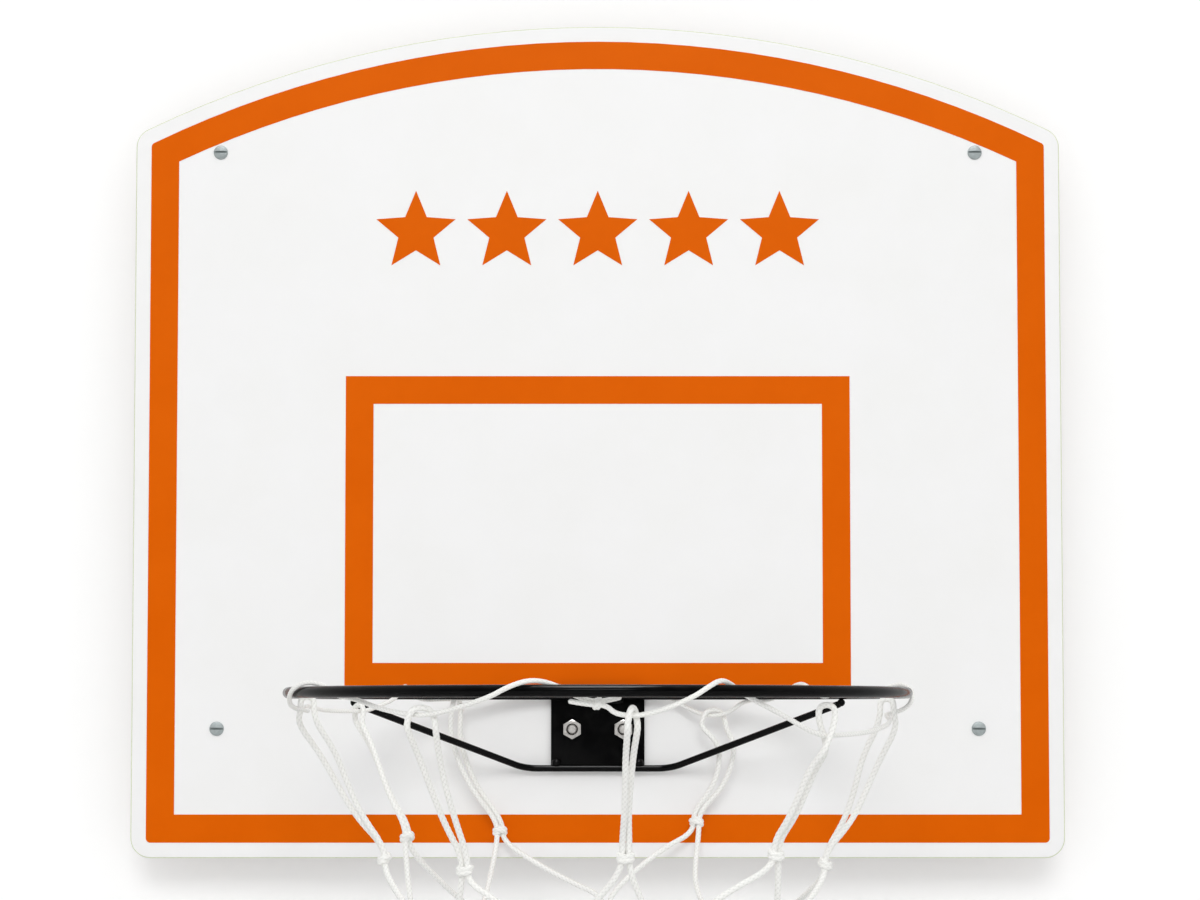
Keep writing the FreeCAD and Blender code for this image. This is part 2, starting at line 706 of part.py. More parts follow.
def make_brace_weld(label, side, brace, plate):
    """A round weld spot over the brace rod, near one of the plate's lower corners."""
    spot = doc.addObject("Part::Sphere", f"{label}_ball")
    spot.setExpression("Radius", "dims.weld_spot_radius")
    place(
        spot,
        f"{side}(dims.plate_width / 2 - dims.weld_spot_inset)",
        f"-({NUT_SEAT} + dims.weld_spot_radius / 4)",
        f"-{RING_DROP} - dims.brace_below_ring + dims.brace_rod / 2 + dims.weld_spot_radius / 2",
    )
    return cut_by(label, spot, plate, brace)


def make_arm_weld(label, side, brace, ring):
    """The weld that joins a brace arm's end to the underside of the ring."""
    spot = doc.addObject("Part::Sphere", f"{label}_ball")
    spot.setExpression("Radius", "dims.brace_rod / 2 + dims.weld_gap + dims.ring_rod / 4")
    place(
        spot,
        f"{side}dims.ring_radius * sin(dims.brace_end_angle * 1 deg)",
        f"-{RING_CENTRE} - dims.ring_radius * cos(dims.brace_end_angle * 1 deg)",
        f"-{RING_DROP} - dims.ring_rod / 2 - dims.weld_gap - dims.brace_rod / 4",
    )
    return cut_by(label, spot, ring, brace)


# Net and lacing. Places are given about the ring: an angle from the front of the hoop towards the
# player's right, how far outwards of the rod's middle, and how far above it.
Loop = namedtuple(
    "Loop", "angle out sag stand lean spread open swing swell tuck knot_angle knot_out knot_drop"
)
# The eight loops in order round the ring: where each hangs on the lacing, how far the lacing sags there,
# how far the loop stands up over it, and how far its fold leans along the ring. Then its two strands: how
# far they part along the ring and outwards, how far both swing along the ring and outwards, and how far
# one goes behind the other, from 0 to 1. Last, where its first knot hangs.
LOOPS = [
    Loop(-150.7, 9.5, -6.0, 0, 2.2, 5.2, 0, 11.0, 0, 0.25, -159.8, 6.5, 86.8),
    Loop(-119, -10.0, 1.6, 0, 0.6, 2.4, 0, 0, 3.2, 0.1, -120.0, -43.5, 85.0),
    Loop(-82, -10.5, 1.2, 4, 0.6, 3.0, 3.9, 0, 4.5, 0, -84.0, -54, 93.0),
    Loop(-31.2, -2.0, 3.2, 0, 3.1, 6.2, 0, -3.2, 0, 0, -33.0, -47, 92.5),
    Loop(5.8, -3.0, 3.4, 0, 1.45, 2.9, 0, -0.6, 0, 0.65, 6.3, -44, 84.5),
    Loop(44, -4.0, 13.8, 12, -1.4, 5.4, 0, 0, 3.0, 0, 43.4, -38, 85.2),
    Loop(80, -11.0, 3.4, 5, 0.6, 3.0, 5.0, 0, 5.0, 0, 83.0, -46, 95.6),
    Loop(155.7, 5.0, 4.4, 0, 3.3, 5.8, 0, -14.0, 0, 0.3, 159.7, 7, 81.0),
]
Knot = namedtuple("Knot", "angle out drop")
# Second row of knots, each between a loop and the next one round the ring
SECOND_ROW = [
    Knot(-148.5, -34, 140),
    Knot(-111, -57, 131),
    Knot(-48, -56, 137),
    Knot(-13, -56, 138),
    Knot(18, -56, 138),
    Knot(53, -54, 137),
    Knot(134, -39, 148),
    Knot(178, -24, 133),
]
# How much nearer to the middle each further row hangs than the row over it
DRAWN_IN = (8, 5, 3)
# A loop's two strands between its fold and its first knot: how far down they are, as a share of the way,
# and there the shares of their parting, of the fold's radius, of their swing and of their swell
STRANDS = (
    (0.3, 0.7, 0.5, 0.9, 0.4),
    (0.54, 0.45, 0.3, 1.0, 0.8),
    (0.77, 0.3, 0.2, 0.75, 1.0),
)
# The share of a loop's opening at its fold, and how far a strand goes behind the other, in diameters
OPEN_AT_FOLD = 0.4
TUCKED = 1.1
# How far a run between two knots bows towards the player or the wall
BOWS = (-1.8, 2.4)
# Runs from the first to the second row that hang aside of the straight way: the cord and its leg, and
# how far to the player's right, towards the wall and up
SLACK = {
    (3, -1): (3, 0, 0),
    (3, 1): (0, 0, 5),
    (5, -1): (-6, 0, 3),
    (7, -1): (-15.5, 0, -12),
    (7, 1): (0, 0, 6),
}
# How far a tail's end stands outwards and aside of its knot
TAIL_OUT = 1.5
TAIL_ASIDE = 2


def about_ring(angle, out, up, along=0):
    """A point near the ring; along moves it sideways, square to the radius."""
    turn = math.radians(angle)
    outwards = Vector(math.sin(turn), -math.cos(turn), 0)
    sideways = Vector(math.cos(turn), math.sin(turn), 0)
    centre = Vector(0, -value_of(RING_CENTRE), up - value_of(RING_DROP))
    return centre + outwards * (dim("ring_radius") + out) + sideways * along


def net_rows():
    """Five rows of eight knots. From the third on, a knot hangs midway under the two that carry it."""
    rows = [[Knot(loop.knot_angle, loop.knot_out, loop.knot_drop) for loop in LOOPS], SECOND_ROW]
    for number, drawn in enumerate(DRAWN_IN):
        above = rows[-1]
        ahead = number % 2
        row = []
        for i in range(len(LOOPS)):
            first, second = above[i - 1 + ahead], above[(i + ahead) % len(LOOPS)]
            apart = (second.angle - first.angle) % 360
            row.append(
                Knot(
                    first.angle + apart / 2,
                    (first.out + second.out) / 2 - drawn,
                    (first.drop + second.drop) / 2 + dim("net_pitch"),
                )
            )
        rows.append(row)
    return rows


def strand_half():
    """Half the distance between the middles of two strands that are tied side by side."""
    return (dim("twine") + dim("strand_gap")) / 2


def knot_pass(knot, side):
    """The two route points of a strand that runs straight down through a knot."""
    half = dim("knot_run") / 2
    return [
        about_ring(knot.angle, knot.out, up - knot.drop, side * strand_half()) for up in (half, -half)
    ]


def lacing_level(loop):
    """How far the lacing runs below the ring's middle where it carries a loop."""
    return (dim("ring_rod") + dim("lacing")) / 2 + dim("twine") + 2 * dim("cord_gap") + loop.sag


def leg_route(number, side, rows):
    """One of a folded cord's two legs, from its fold down to its tail. side is -1 or 1."""
    loop = LOOPS[number]
    hang = -lacing_level(loop)
    fold = (dim("twine") + dim("lacing")) / 2 + dim("fold_gap")
    top = hang + fold + loop.stand
    first = rows[0][number]
    knot_top = dim("knot_run") / 2 - first.drop
    aside = max(loop.spread, 2 * loop.lean)
    foot = fold + OPEN_AT_FOLD * loop.open
    route = [
        about_ring(loop.angle, loop.out - side * fold, top, side * loop.lean),
        about_ring(loop.angle, loop.out - side * fold, top - 2 * fold, side * 2 * loop.lean),
        about_ring(loop.angle, loop.out - side * foot, hang - 2 * fold, side * aside),
    ]
    close = (strand_half() + dim("strand_gap") / 2) * (1 - loop.tuck)
    for share, parted, behind, swung, swollen in STRANDS:
        inwards = behind * fold + parted * loop.open + loop.tuck * (1 - behind) * TUCKED * dim("twine")
        route.append(
            about_ring(
                loop.angle + share * (first.angle - loop.angle),
                loop.out + share * (first.out - loop.out) + swollen * loop.swell - side * inwards,
                hang + share * (knot_top - hang),
                side * (close + parted * (loop.spread - close)) + swung * loop.swing,
            )
        )
    route += knot_pass(first, side)
    # below it the leg swings out to the knot shared with the next cord and back, row by row
    for depth in range(1, len(rows)):
        shared = depth % 2 == 1
        column = (number - 1 if side < 0 else number) % len(LOOPS) if shared else number
        above = route[-1]
        below = knot_pass(rows[depth][column], -side if shared else side)
        bow = BOWS[(number + depth) % 2]
        slack = Vector(0, bow, -abs(bow))
        if depth == 1:
            slack = slack + Vector(*SLACK.get((number, side), (0, 0, 0)))
        for share in (1 / 3, 2 / 3):
            route.append(above + (below[0] - above) * share + slack)
        route += below
    last = rows[-1][number]
    end = -last.drop - dim("knot_run") / 2 - dim("net_tail")
    route.append(about_ring(last.angle, last.out + TAIL_OUT, end, side * (strand_half() + TAIL_ASIDE)))
    return route


def net_route(number, rows):
    """A net cord from one tail over its fold to the other tail."""
    return leg_route(number, -1, rows)[::-1] + leg_route(number, 1, rows)


# The lacing's turn over the ring: degrees about the rod from point to point, and where its middle one is
WRAP_STEP = 60
WRAP_MIDDLE = 80


def wrap(angle, advance, slack=0):
    """Five route points of the lacing's turn over the ring: up outside, over the top, down inside."""
    reach = (dim("ring_rod") + dim("lacing")) / 2 + dim("cord_gap") + slack
    reach /= math.cos(math.radians(WRAP_STEP / 2))
    points = []
    for number in range(-2, 3):
        around = math.radians(WRAP_MIDDLE + number * WRAP_STEP)
        points.append(
            about_ring(angle + number * advance, reach * math.cos(around), reach * math.sin(around))
        )
    return points


# Degrees about the ring from a loop's middle to the lacing's points beside it
LOOP_TURN = 2.6


def under_loop(number):
    """Two route points of the lacing where it carries a loop."""
    loop = LOOPS[number]
    return [
        about_ring(loop.angle + turn, loop.out, -lacing_level(loop)) for turn in (-LOOP_TURN, LOOP_TURN)
    ]


# Where the lacing's first and second ends pass through the knot that ties them: outwards and up, and
# degrees about the ring from the knot's middle to the points beside it
TIE_FIRST = (-6.9, -6.9)
TIE_SECOND = (-10.1, -5.1)
TIE_TURN = 1.4


def tie_pass(end):
    """Two route points of one of the lacing's ends, one each side of the knot."""
    return [about_ring(turn, *end) for turn in (-TIE_TURN, TIE_TURN)]


def lacing_route():
    """One cord round the ring, from its tied tail through all eight loops and back to the knot."""
    return [
        about_ring(-4.9, -2.4, -5.0),
        *tie_pass(TIE_FIRST),
        *under_loop(4),
        *wrap(20.5, 2.7),
        about_ring(33.5, -6.5, -11),
        *under_loop(5),
        about_ring(57, -3, -21.5),
        about_ring(68, -2.5, -16.5),
        *under_loop(6),
        about_ring(86.2, -0.6, -9.0),
        *wrap(95.5, 3.2),
        about_ring(109, -8.0, 0.4),
        about_ring(119, -9.0, 0.9),
        *wrap(134.5, -4.6, 1.4)[::-1],
        about_ring(148.5, 6.0, -2.6),
        *under_loop(7),
        *wrap(170, 3.0)[:3],
        about_ring(180.5, -5.0, 4.0),
        about_ring(190.5, 1.0, 6.2),
        about_ring(195, 6.2, 2.0),
        *under_loop(0),
        *wrap(223, 2.2),
        about_ring(231.5, -10.5, -5.0),
        *under_loop(1),
        about_ring(254, -5, -10.0),
        about_ring(264, -5.5, -6.5),
        *under_loop(2),
        about_ring(286.3, 0.2, -8.4),
        *wrap(297.5, 3.6),
        about_ring(311, -6.2, -3.5),
        about_ring(319, -4.0, -9.0),
        *under_loop(3),
        *wrap(349, 3.4),
        *tie_pass(TIE_SECOND),
        about_ring(4.2, -11.8, -3.0),
    ]


# Share of a run that the arc at its end may take up, and how far a tube's volume may be from expected
ARC_SHARE = 0.45
VOLUME_SLACK = 0.01


def rounded_path(points):
    """A wire of straight runs and tangent arcs, each arc as large as its two runs allow."""
    edges, radii = [], []
    start = points[0]
    for before, corner, after in zip(points, points[1:], points[2:]):
        back, ahead = before - corner, after - corner
        half_turn = (math.pi - back.getAngle(ahead)) / 2
        trim = ARC_SHARE * min(back.Length, ahead.Length)
        radii.append(trim / math.tan(half_turn))
        back.normalize()
        ahead.normalize()
        enter, leave = corner + back * trim, corner + ahead * trim
        inwards = back + ahead
        inwards.normalize()
        sink = radii[-1] * (1 / math.cos(half_turn) - 1)
        edges.append(Part.LineSegment(start, enter).toShape())
        edges.append(Part.Arc(enter, corner + inwards * sink, leave).toShape())
        start = leave
    edges.append(Part.LineSegment(start, points[-1]).toShape())
    return Part.Wire(edges), radii


def make_cord(label, points, diameter):
    """A cord's tube along its route, checked against its section times its length."""
    path, radii = rounded_path(points)
    first = points[1] - points[0]
    section = Part.Wire([Part.makeCircle(diameter / 2, points[0], first)])
    tube = path.makePipeShell([section], True, False)
    expected = math.pi * diameter**2 / 4 * path.Length
    if abs(tube.Volume / expected - 1) > VOLUME_SLACK:
        raise RuntimeError(f"{label} has {tube.Volume / expected:.3f} of its section times its length")
    cord = doc.addObject("Part::Feature", label)
    cord.Shape = tube
    listed = " ".join(f"{radius:.1f}" for radius in radii)
    print(f"{label}: {path.Length:.1f} mm long, least bend {min(radii):.1f} mm, bends {listed}")
    return cord, path


def knot_shape(centre, strand, pair, cord, spacing):
    """A knot as a sleeve with rounded ends about two cords that run side by side.

    strand is the cords' direction, pair points from one to the other, cord is their diameter and
    spacing the distance between their middles.
    """
    bore = cord / 2 + dim("knot_gap")
    deep = bore + dim("knot_wall")
    height = dim("knot_height") * cord / dim("twine")
    ends = [Vector(side * spacing / 2, 0, -height / 2) for side in (-1, 1)]
    lump = Part.makeBox(spacing, 2 * deep, height, ends[0] - Vector(0, deep, 0))
    lump = lump.fuse([Part.makeCylinder(deep, height, end) for end in ends]).removeSplitter()
    level = [edge for edge in lump.Edges if edge.BoundBox.ZLength < height / 2]
    lump = lump.makeFillet(dim("knot_round"), level)
    lump = lump.cut([Part.makeCylinder(bore, height, end) for end in ends])
    lump.Placement = Placement(centre, Rotation(pair, strand.cross(pair), strand, "ZXY"))
    return lump


def make_net_knots(label, row):
    """One row of the net's knots, each a separate solid."""
    knots = []
    for knot in row:
        centre = about_ring(knot.angle, knot.out, -knot.drop)
        sideways = about_ring(knot.angle, knot.out, -knot.drop, 1) - centre
        knots.append(knot_shape(centre, Vector(0, 0, 1), sideways, dim("twine"), 2 * strand_half()))
    group = doc.addObject("Part::Feature", label)
    group.Shape = Part.makeCompound(knots)
    return group


def make_lacing_knot():
    """The knot at the front of the hoop that ties the lacing's two ends."""
    first, second = about_ring(0, *TIE_FIRST), about_ring(0, *TIE_SECOND)
    apart = second - first
    spacing = apart.Length
    apart.normalize()
    knot = doc.addObject("Part::Feature", "lacing_knot")
    knot.Shape = knot_shape((first + second) / 2, Vector(1, 0, 0), apart, dim("lacing"), spacing)
    return knot


def gap_to_itself(path, diameter):
    """Least gap between stretches of one cord that are four diameters or more apart along it."""
    step = diameter / 2
    count = int(path.Length / step)
    points = path.discretize(Number=count)
    apart = int(4 * diameter / step)
    return min(
        points[i].distanceToPoint(points[j]) - diameter
        for i in range(count)
        for j in range(i + apart, count)
    )


ring = make_rim_ring()
plate = make_bracket_plate()
brace = make_brace_rod()
pieces = [
    make_backboard_panel(),
    make_border_print(),
    make_target_print(),
    make_star_print(),
    plate,
    ring,
    brace,
]
for level_name, level in (("upper", ""), ("lower", "-")):
    for side_name, side in (("left", "-"), ("right", "")):
        pieces.append(make_wall_screw(f"wall_screw_{level_name}_{side_name}", side, level))
for level_name, level in (("upper", "+"), ("lower", "-")):
    pieces.append(make_rim_weld(f"rim_weld_{level_name}", level, ring, plate))
for side_name, side in (("left", "-"), ("right", "")):
    pieces.append(make_bracket_bolt(f"bracket_bolt_{side_name}", side))
    pieces.append(make_bracket_nut(f"bracket_nut_{side_name}", side))
    pieces.append(make_brace_weld(f"brace_weld_{side_name}", side, brace, plate))
    pieces.append(make_arm_weld(f"arm_weld_{side_name}", side, brace, ring))
doc.recompute()

knot_rows = net_rows()
for number in range(len(LOOPS)):
    cord, _ = make_cord(f"net_cord_{number + 1}", net_route(number, knot_rows), dim("twine"))
    pieces.append(cord)
for number, row in enumerate(knot_rows, start=1):
    pieces.append(make_net_knots(f"net_knots_row_{number}", row))
lacing, lacing_path = make_cord("lacing_cord", lacing_route(), dim("lacing"))
print(f"lacing_cord: least gap to itself {gap_to_itself(lacing_path, dim('lacing')):.2f} mm")
pieces += [lacing, make_lacing_knot()]
doc.recompute()

for thing in doc.Objects:
    if "Invalid" in thing.State or "Error" in thing.State:
        raise RuntimeError(f"{thing.Label} failed: {thing.State}")
for piece in pieces:
    if piece.Shape.isNull() or not piece.Shape.isValid() or not piece.Shape.Solids:
        raise RuntimeError(f"{piece.Label} is not a valid solid")

os.makedirs("parts", exist_ok=True)
for piece in pieces:
    piece.Shape.exportStep(f"parts/{piece.Label}.step")
print(f"{len(pieces)} sub-parts written")
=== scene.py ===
from collections import namedtuple

import bpy
import numpy as np
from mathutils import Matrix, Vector


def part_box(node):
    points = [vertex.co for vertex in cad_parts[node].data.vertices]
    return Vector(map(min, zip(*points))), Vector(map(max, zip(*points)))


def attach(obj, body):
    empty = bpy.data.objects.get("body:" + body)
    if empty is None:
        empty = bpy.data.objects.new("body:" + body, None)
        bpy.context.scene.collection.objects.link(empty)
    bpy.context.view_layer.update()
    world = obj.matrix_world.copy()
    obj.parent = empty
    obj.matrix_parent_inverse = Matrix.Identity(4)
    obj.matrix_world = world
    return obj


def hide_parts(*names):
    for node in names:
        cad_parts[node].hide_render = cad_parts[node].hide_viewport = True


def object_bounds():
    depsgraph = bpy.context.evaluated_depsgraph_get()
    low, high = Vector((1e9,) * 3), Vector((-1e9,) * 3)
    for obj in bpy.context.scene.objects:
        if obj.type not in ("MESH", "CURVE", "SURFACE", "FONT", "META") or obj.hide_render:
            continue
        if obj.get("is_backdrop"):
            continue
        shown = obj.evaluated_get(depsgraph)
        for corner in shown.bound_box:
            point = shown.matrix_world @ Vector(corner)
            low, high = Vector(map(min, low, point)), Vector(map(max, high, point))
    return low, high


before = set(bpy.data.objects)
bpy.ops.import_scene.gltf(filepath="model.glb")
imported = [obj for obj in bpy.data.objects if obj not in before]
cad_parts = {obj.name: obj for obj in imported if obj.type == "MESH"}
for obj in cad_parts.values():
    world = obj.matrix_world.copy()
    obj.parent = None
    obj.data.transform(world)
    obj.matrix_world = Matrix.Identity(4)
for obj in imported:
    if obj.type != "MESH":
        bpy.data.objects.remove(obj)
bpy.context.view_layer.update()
MM = 0.001


# Backboard panel: one sheet of fibreboard, sawn with a domed top and bevelled round its front edge.
# A white film is pressed on the face, a pale sealer closes the sawn edge, and the rear is bare board.
def colour(red, green, blue):
    """Linear colour of an sRGB one from 0 to 255: a power of 2.4 with a straight start."""
    share = np.array([red, green, blue]) / 255
    linear = np.where(share <= 0.04045, share / 12.92, ((share + 0.055) / 1.055) ** 2.4)
    return (*linear.tolist(), 1.0)


def add_node(tree, kind, inputs, **settings):
    """One node, with its settings and with each input linked to a socket or set to a value."""
    node = tree.nodes.new(kind)
    for setting, value in settings.items():
        setattr(node, setting, value)
    for name, value in inputs.items():
        if isinstance(value, bpy.types.NodeSocket):
            tree.links.new(value, node.inputs[name])
        else:
            node.inputs[name].default_value = value
    return node


def new_finish(name, **inputs):
    """A material with one shader: its tree, the shader and the piece's own coordinates."""
    finish = bpy.data.materials.new(name)
    finish.use_nodes = True
    tree = finish.node_tree
    shader = tree.nodes["Principled BSDF"]
    for socket, value in inputs.items():
        shader.inputs[socket.replace("_", " ")].default_value = value
    return finish, tree, shader, add_node(tree, "ShaderNodeTexCoord", {}).outputs["Object"]


def mottle(tree, where, size, detail=3.0, grain=0.55):
    """Noise from 0 to 1 whose patches are about size metres wide."""
    inputs = {"Vector": where, "Scale": 1 / size, "Detail": detail, "Roughness": grain}
    return add_node(tree, "ShaderNodeTexNoise", inputs).outputs["Fac"]


def spread_over(tree, value, low, high):
    """The middle of a noise's range stretched to run from low to high."""
    inputs = {"Value": value, "From Min": 0.3, "From Max": 0.7, "To Min": low, "To Max": high}
    return add_node(tree, "ShaderNodeMapRange", inputs).outputs["Result"]


def mixed(tree, share, first, second):
    """The first colour where share is 0 and the second where it is 1."""
    node = add_node(tree, "ShaderNodeMix", {0: share, 6: first, 7: second}, data_type="RGBA")
    return node.outputs[2]


def reckon(tree, operation, first, second):
    """One sum on two sockets or numbers."""
    return add_node(tree, "ShaderNodeMath", {0: first, 1: second}, operation=operation).outputs[0]


def roughen(tree, shader, height, depth, strength=1.0):
    """A bump of at most depth metres on the shader's normal."""
    inputs = {"Height": height, "Distance": depth, "Strength": strength}
    bump = add_node(tree, "ShaderNodeBump", inputs)
    tree.links.new(bump.outputs["Normal"], shader.inputs["Normal"])


FILM = (colour(243, 243, 243), colour(241, 241, 240))
SEALER = (colour(224, 231, 206), colour(208, 214, 186))
BARE_BOARD = (colour(178, 146, 104), colour(150, 118, 80))
FILM_ROUGHNESS = 0.42
BOARD_ROUGHNESS = 0.75
FILM_GRAIN = 0.12
SKIN = 0.05 * MM
face_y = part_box("backboard_panel")[0][1]
rear_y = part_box("backboard_panel")[1][1]
panel_finish, tree, shader, spot = new_finish("filmed_fibreboard", Specular_IOR_Level=0.15)
depth = add_node(tree, "ShaderNodeSeparateXYZ", {"Vector": spot}).outputs["Y"]
off_face = reckon(tree, "GREATER_THAN", depth, face_y + SKIN)
on_rear = reckon(tree, "GREATER_THAN", depth, rear_y - SKIN)
cloud = spread_over(tree, mottle(tree, spot, 60 * MM), 0, 1)
fibre = spread_over(tree, mottle(tree, spot, 1.4 * MM, 6.0, 0.7), 0, 1)
film = mixed(tree, cloud, *FILM)
sealed = mixed(tree, fibre, *SEALER)
bare = mixed(tree, fibre, *BARE_BOARD)
panel_colour = mixed(tree, on_rear, mixed(tree, off_face, film, sealed), bare)
tree.links.new(panel_colour, shader.inputs["Base Color"])
dullness = reckon(tree, "MULTIPLY_ADD", off_face, BOARD_ROUGHNESS - FILM_ROUGHNESS)
dullness.node.inputs[2].default_value = FILM_ROUGHNESS
tree.links.new(dullness, shader.inputs["Roughness"])
grain = reckon(tree, "MULTIPLY", fibre, reckon(tree, "ADD", off_face, FILM_GRAIN))
roughen(tree, shader, grain, 0.06 * MM, 0.6)
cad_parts["backboard_panel"].data.materials[0] = panel_finish


# Printed border, target square and star row: orange ink laid on the film by screen printing.
# The ink is a thin even layer, duller than the film, with the faint grain of the screen's mesh.
INK = (colour(222, 97, 2), colour(219, 94, 0))
ink_finish, tree, shader, spot = new_finish("orange_screen_ink", Specular_IOR_Level=0.02)
patch = spread_over(tree, mottle(tree, spot, 35 * MM), 0, 1)
ink = mixed(tree, patch, *INK)
tree.links.new(ink, shader.inputs["Base Color"])
weave = mottle(tree, spot, 0.7 * MM, 2.0)
tree.links.new(spread_over(tree, weave, 0.36, 0.46), shader.inputs["Roughness"])
roughen(tree, shader, weave, 0.015 * MM, 0.5)
for print_name in ("border_print", "target_print", "star_print"):
    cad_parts[print_name].data.materials[0] = ink_finish


# Four wall screws: zinc-plated steel wood screws with slotted round heads, one near each corner.
# Each is turned, its slot sawn and its thread rolled, and it goes through the panel into the wall.
def grid_faces(rows, columns, wraps, first=0):
    """Quads of a grid of points numbered row by row; wraps joins the last column to the first."""
    along = np.arange(rows - 1)[:, None] * columns
    across = np.arange(columns if wraps else columns - 1)[None, :]
    ahead = (across + 1) % columns
    corners = (along + across, along + ahead, along + columns + ahead, along + columns + across)
    return (np.stack(corners, axis=-1).reshape(-1, 4) + first).tolist()


def new_piece(name, points, faces, finish, nodes, sharp=40):
    """A mesh from whole arrays, at the origin: it rides on the one body and stands for its nodes."""
    mesh = bpy.data.meshes.new(name)
    mesh.from_pydata(np.asarray(points).reshape(-1, 3).tolist(), [], faces)
    mesh.materials.append(finish)
    mesh.shade_smooth()
    mesh.set_sharp_from_angle(angle=np.radians(sharp))
    piece = bpy.data.objects.new(name, mesh)
    bpy.context.collection.objects.link(piece)
    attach(piece, "root")
    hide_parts(*nodes)
    return piece


def keep(piece, name, values):
    """Stores a number for each of a mesh's points, where its finish reads it by name."""
    layer = piece.data.attributes.new(name, "FLOAT", "POINT")
    layer.data.foreach_set("value", np.asarray(values, np.float32).ravel())


def corners_of(node):
    """The two opposite corners of a CAD node's box, as arrays."""
    return [np.array(corner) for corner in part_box(node)]


DULL_ZINC = (colour(172, 180, 180), colour(154, 162, 163))
# A darker grey painted on the screws' slot floors as shade in the slot.
SLOT_SHADE_GREY = colour(128, 136, 136)
SCREW_HEAD = 4.6 * MM
HEAD_HEIGHT = 2.4 * MM
HEAD_RIM = 0.35 * MM
HEAD_SLOT = 1.3 * MM
SLOT_FLOOR = 1.1 * MM
SHANK_RADIUS = 2.5 * MM
THREAD_CORE = 1.5 * MM
THREAD_CREST = 0.6 * MM
THREAD_PITCH = 1.8 * MM
THREAD_END = 27 * MM
TIP_END = 35 * MM


def slotted_head(radius, rim, height, slot, floor):
    """A slotted head's top: rows across the slot, each a chord of the disc, raised to a dome.

    The height is the rim's plus an elliptic dome's, or the slot's floor where that is lower. A floor under
    the rim rises to it at 45 degrees, as a sunk head's cone does. The two rows at each side of the slot
    share their place, so the wall between them is upright.
    """
    turn = np.linspace(np.arcsin(slot / 2 / radius), np.radians(88), 18)
    up = radius * np.sin(turn)
    across_slot = np.concatenate([-up[::-1], [-slot / 2, slot / 2], up])
    in_slot = np.abs(np.arange(len(across_slot)) - (len(across_slot) - 1) / 2) < 1
    chord = np.sqrt(radius**2 - across_slot**2)
    x = chord[:, None] * np.sin(np.linspace(-np.pi / 2, np.pi / 2, 25))[None, :]
    z = np.broadcast_to(across_slot[:, None], x.shape)
    from_axis = np.hypot(x, z)
    dome = rim + (height - rim) * np.sqrt(np.clip(1 - (from_axis / radius) ** 2, 0, 1))
    sunk = np.minimum(dome, np.maximum(floor, from_axis - radius))
    return np.stack([x, -np.where(in_slot[:, None], sunk, dome), z], axis=-1)


def edge_of(head):
    """The points round a head's edge, and their turn about its axis."""
    edge = np.concatenate([head[::-1, -1], head[0, -2:0:-1], head[:, 0], head[-1, 1:-1]])
    return edge, np.arctan2(edge[:, 2], edge[:, 0])


def threaded(along, turn, core, crest, pitch):
    """Radius of a thread: its core's plus a ridge that climbs one pitch a turn."""
    rise = along[:, None] / pitch + turn[None, :] / (2 * np.pi)
    return core + crest * np.clip(1 - np.abs(rise % 1 - 0.5) / 0.3, 0, 1)


def turned_points(head, plain, along, radius):
    """A head's grid with rings under it, and their faces.

    The rings keep the turn of the head's edge. First come the plain ones, each a place along the axis and
    a radius, then those of along and radius, and one face closes the last.
    """
    edge, turn = edge_of(head)
    places, radii = np.array(plain).T
    radius = np.concatenate([np.repeat(radii[:, None], len(turn), axis=1), radius])
    y = np.broadcast_to(np.concatenate([places, along])[:, None], radius.shape)
    rings = np.stack([radius * np.cos(turn), y, radius * np.sin(turn)], axis=-1)
    rings = np.concatenate([edge[None], rings])
    count = head.shape[0] * head.shape[1]
    faces = grid_faces(*head.shape[:2], False) + grid_faces(*rings.shape[:2], True, count)
    last = count + rings.shape[0] * rings.shape[1]
    faces.append(list(range(last - rings.shape[1], last)))
    return np.concatenate([head.reshape(-1, 3), rings.reshape(-1, 3)]), faces


def screw_points():
    """A wall screw about its seat: a plain shank through the board, then a thread that shrinks to a tip."""
    head = slotted_head(SCREW_HEAD, HEAD_RIM, HEAD_HEIGHT, HEAD_SLOT, SLOT_FLOOR)
    board = rear_y - face_y
    plain = [(0, SCREW_HEAD), (0, SHANK_RADIUS), (board, SHANK_RADIUS), (board, THREAD_CORE)]
    along = np.arange(board + 0.1 * MM, board + TIP_END, THREAD_PITCH / 9)
    left = np.clip((board + TIP_END - along) / (TIP_END - THREAD_END), 0.03, 1)[:, None]
    radius = threaded(along, edge_of(head)[1], THREAD_CORE, THREAD_CREST, THREAD_PITCH) * left
    return turned_points(head, plain, along, radius)


def zinc_finish(name, light, dark, gloss, rough):
    """Zinc plate: light and dark blooms a few mm wide under fine brushing, and a darker grey painted as
    shade on the points marked as a slot's floor.
    """
    finish, tree, shader, spot = new_finish(name, Metallic=gloss, Specular_IOR_Level=gloss)
    bloom = spread_over(tree, mottle(tree, spot, 2.2 * MM, 4.0), 0, 1)
    painted_slot_shade = add_node(tree, "ShaderNodeAttribute", {}, attribute_name="painted_slot_shade").outputs["Fac"]
    # Painted shade: where the attribute marks a slot's floor, the darker grey replaces the plate's blooms.
    plate = mixed(tree, painted_slot_shade, mixed(tree, bloom, light, dark), SLOT_SHADE_GREY)
    tree.links.new(plate, shader.inputs["Base Color"])
    brushing = mottle(tree, spot, 0.25 * MM, 2.0)
    tree.links.new(spread_over(tree, brushing, rough, rough + 0.16), shader.inputs["Roughness"])
    roughen(tree, shader, brushing, 0.01 * MM, 0.4)
    return finish


screw_finish = zinc_finish("dull_zinc", *DULL_ZINC, gloss=0.2, rough=0.6)
screw, screw_faces = screw_points()
for corner in ("upper_left", "upper_right", "lower_left", "lower_right"):
    node = f"wall_screw_{corner}"
    low, high = corners_of(node)
    seat = np.array([(low[0] + high[0]) / 2, face_y, (low[2] + high[2]) / 2])
    piece = new_piece(
        f"{node}_turned", screw + seat, screw_faces, screw_finish, [node], sharp=50
    )
    # Marks the points on the slot's floor, where the finish paints its shade.
    keep(piece, "painted_slot_shade", np.isclose(screw[:, 1], -SLOT_FLOOR))


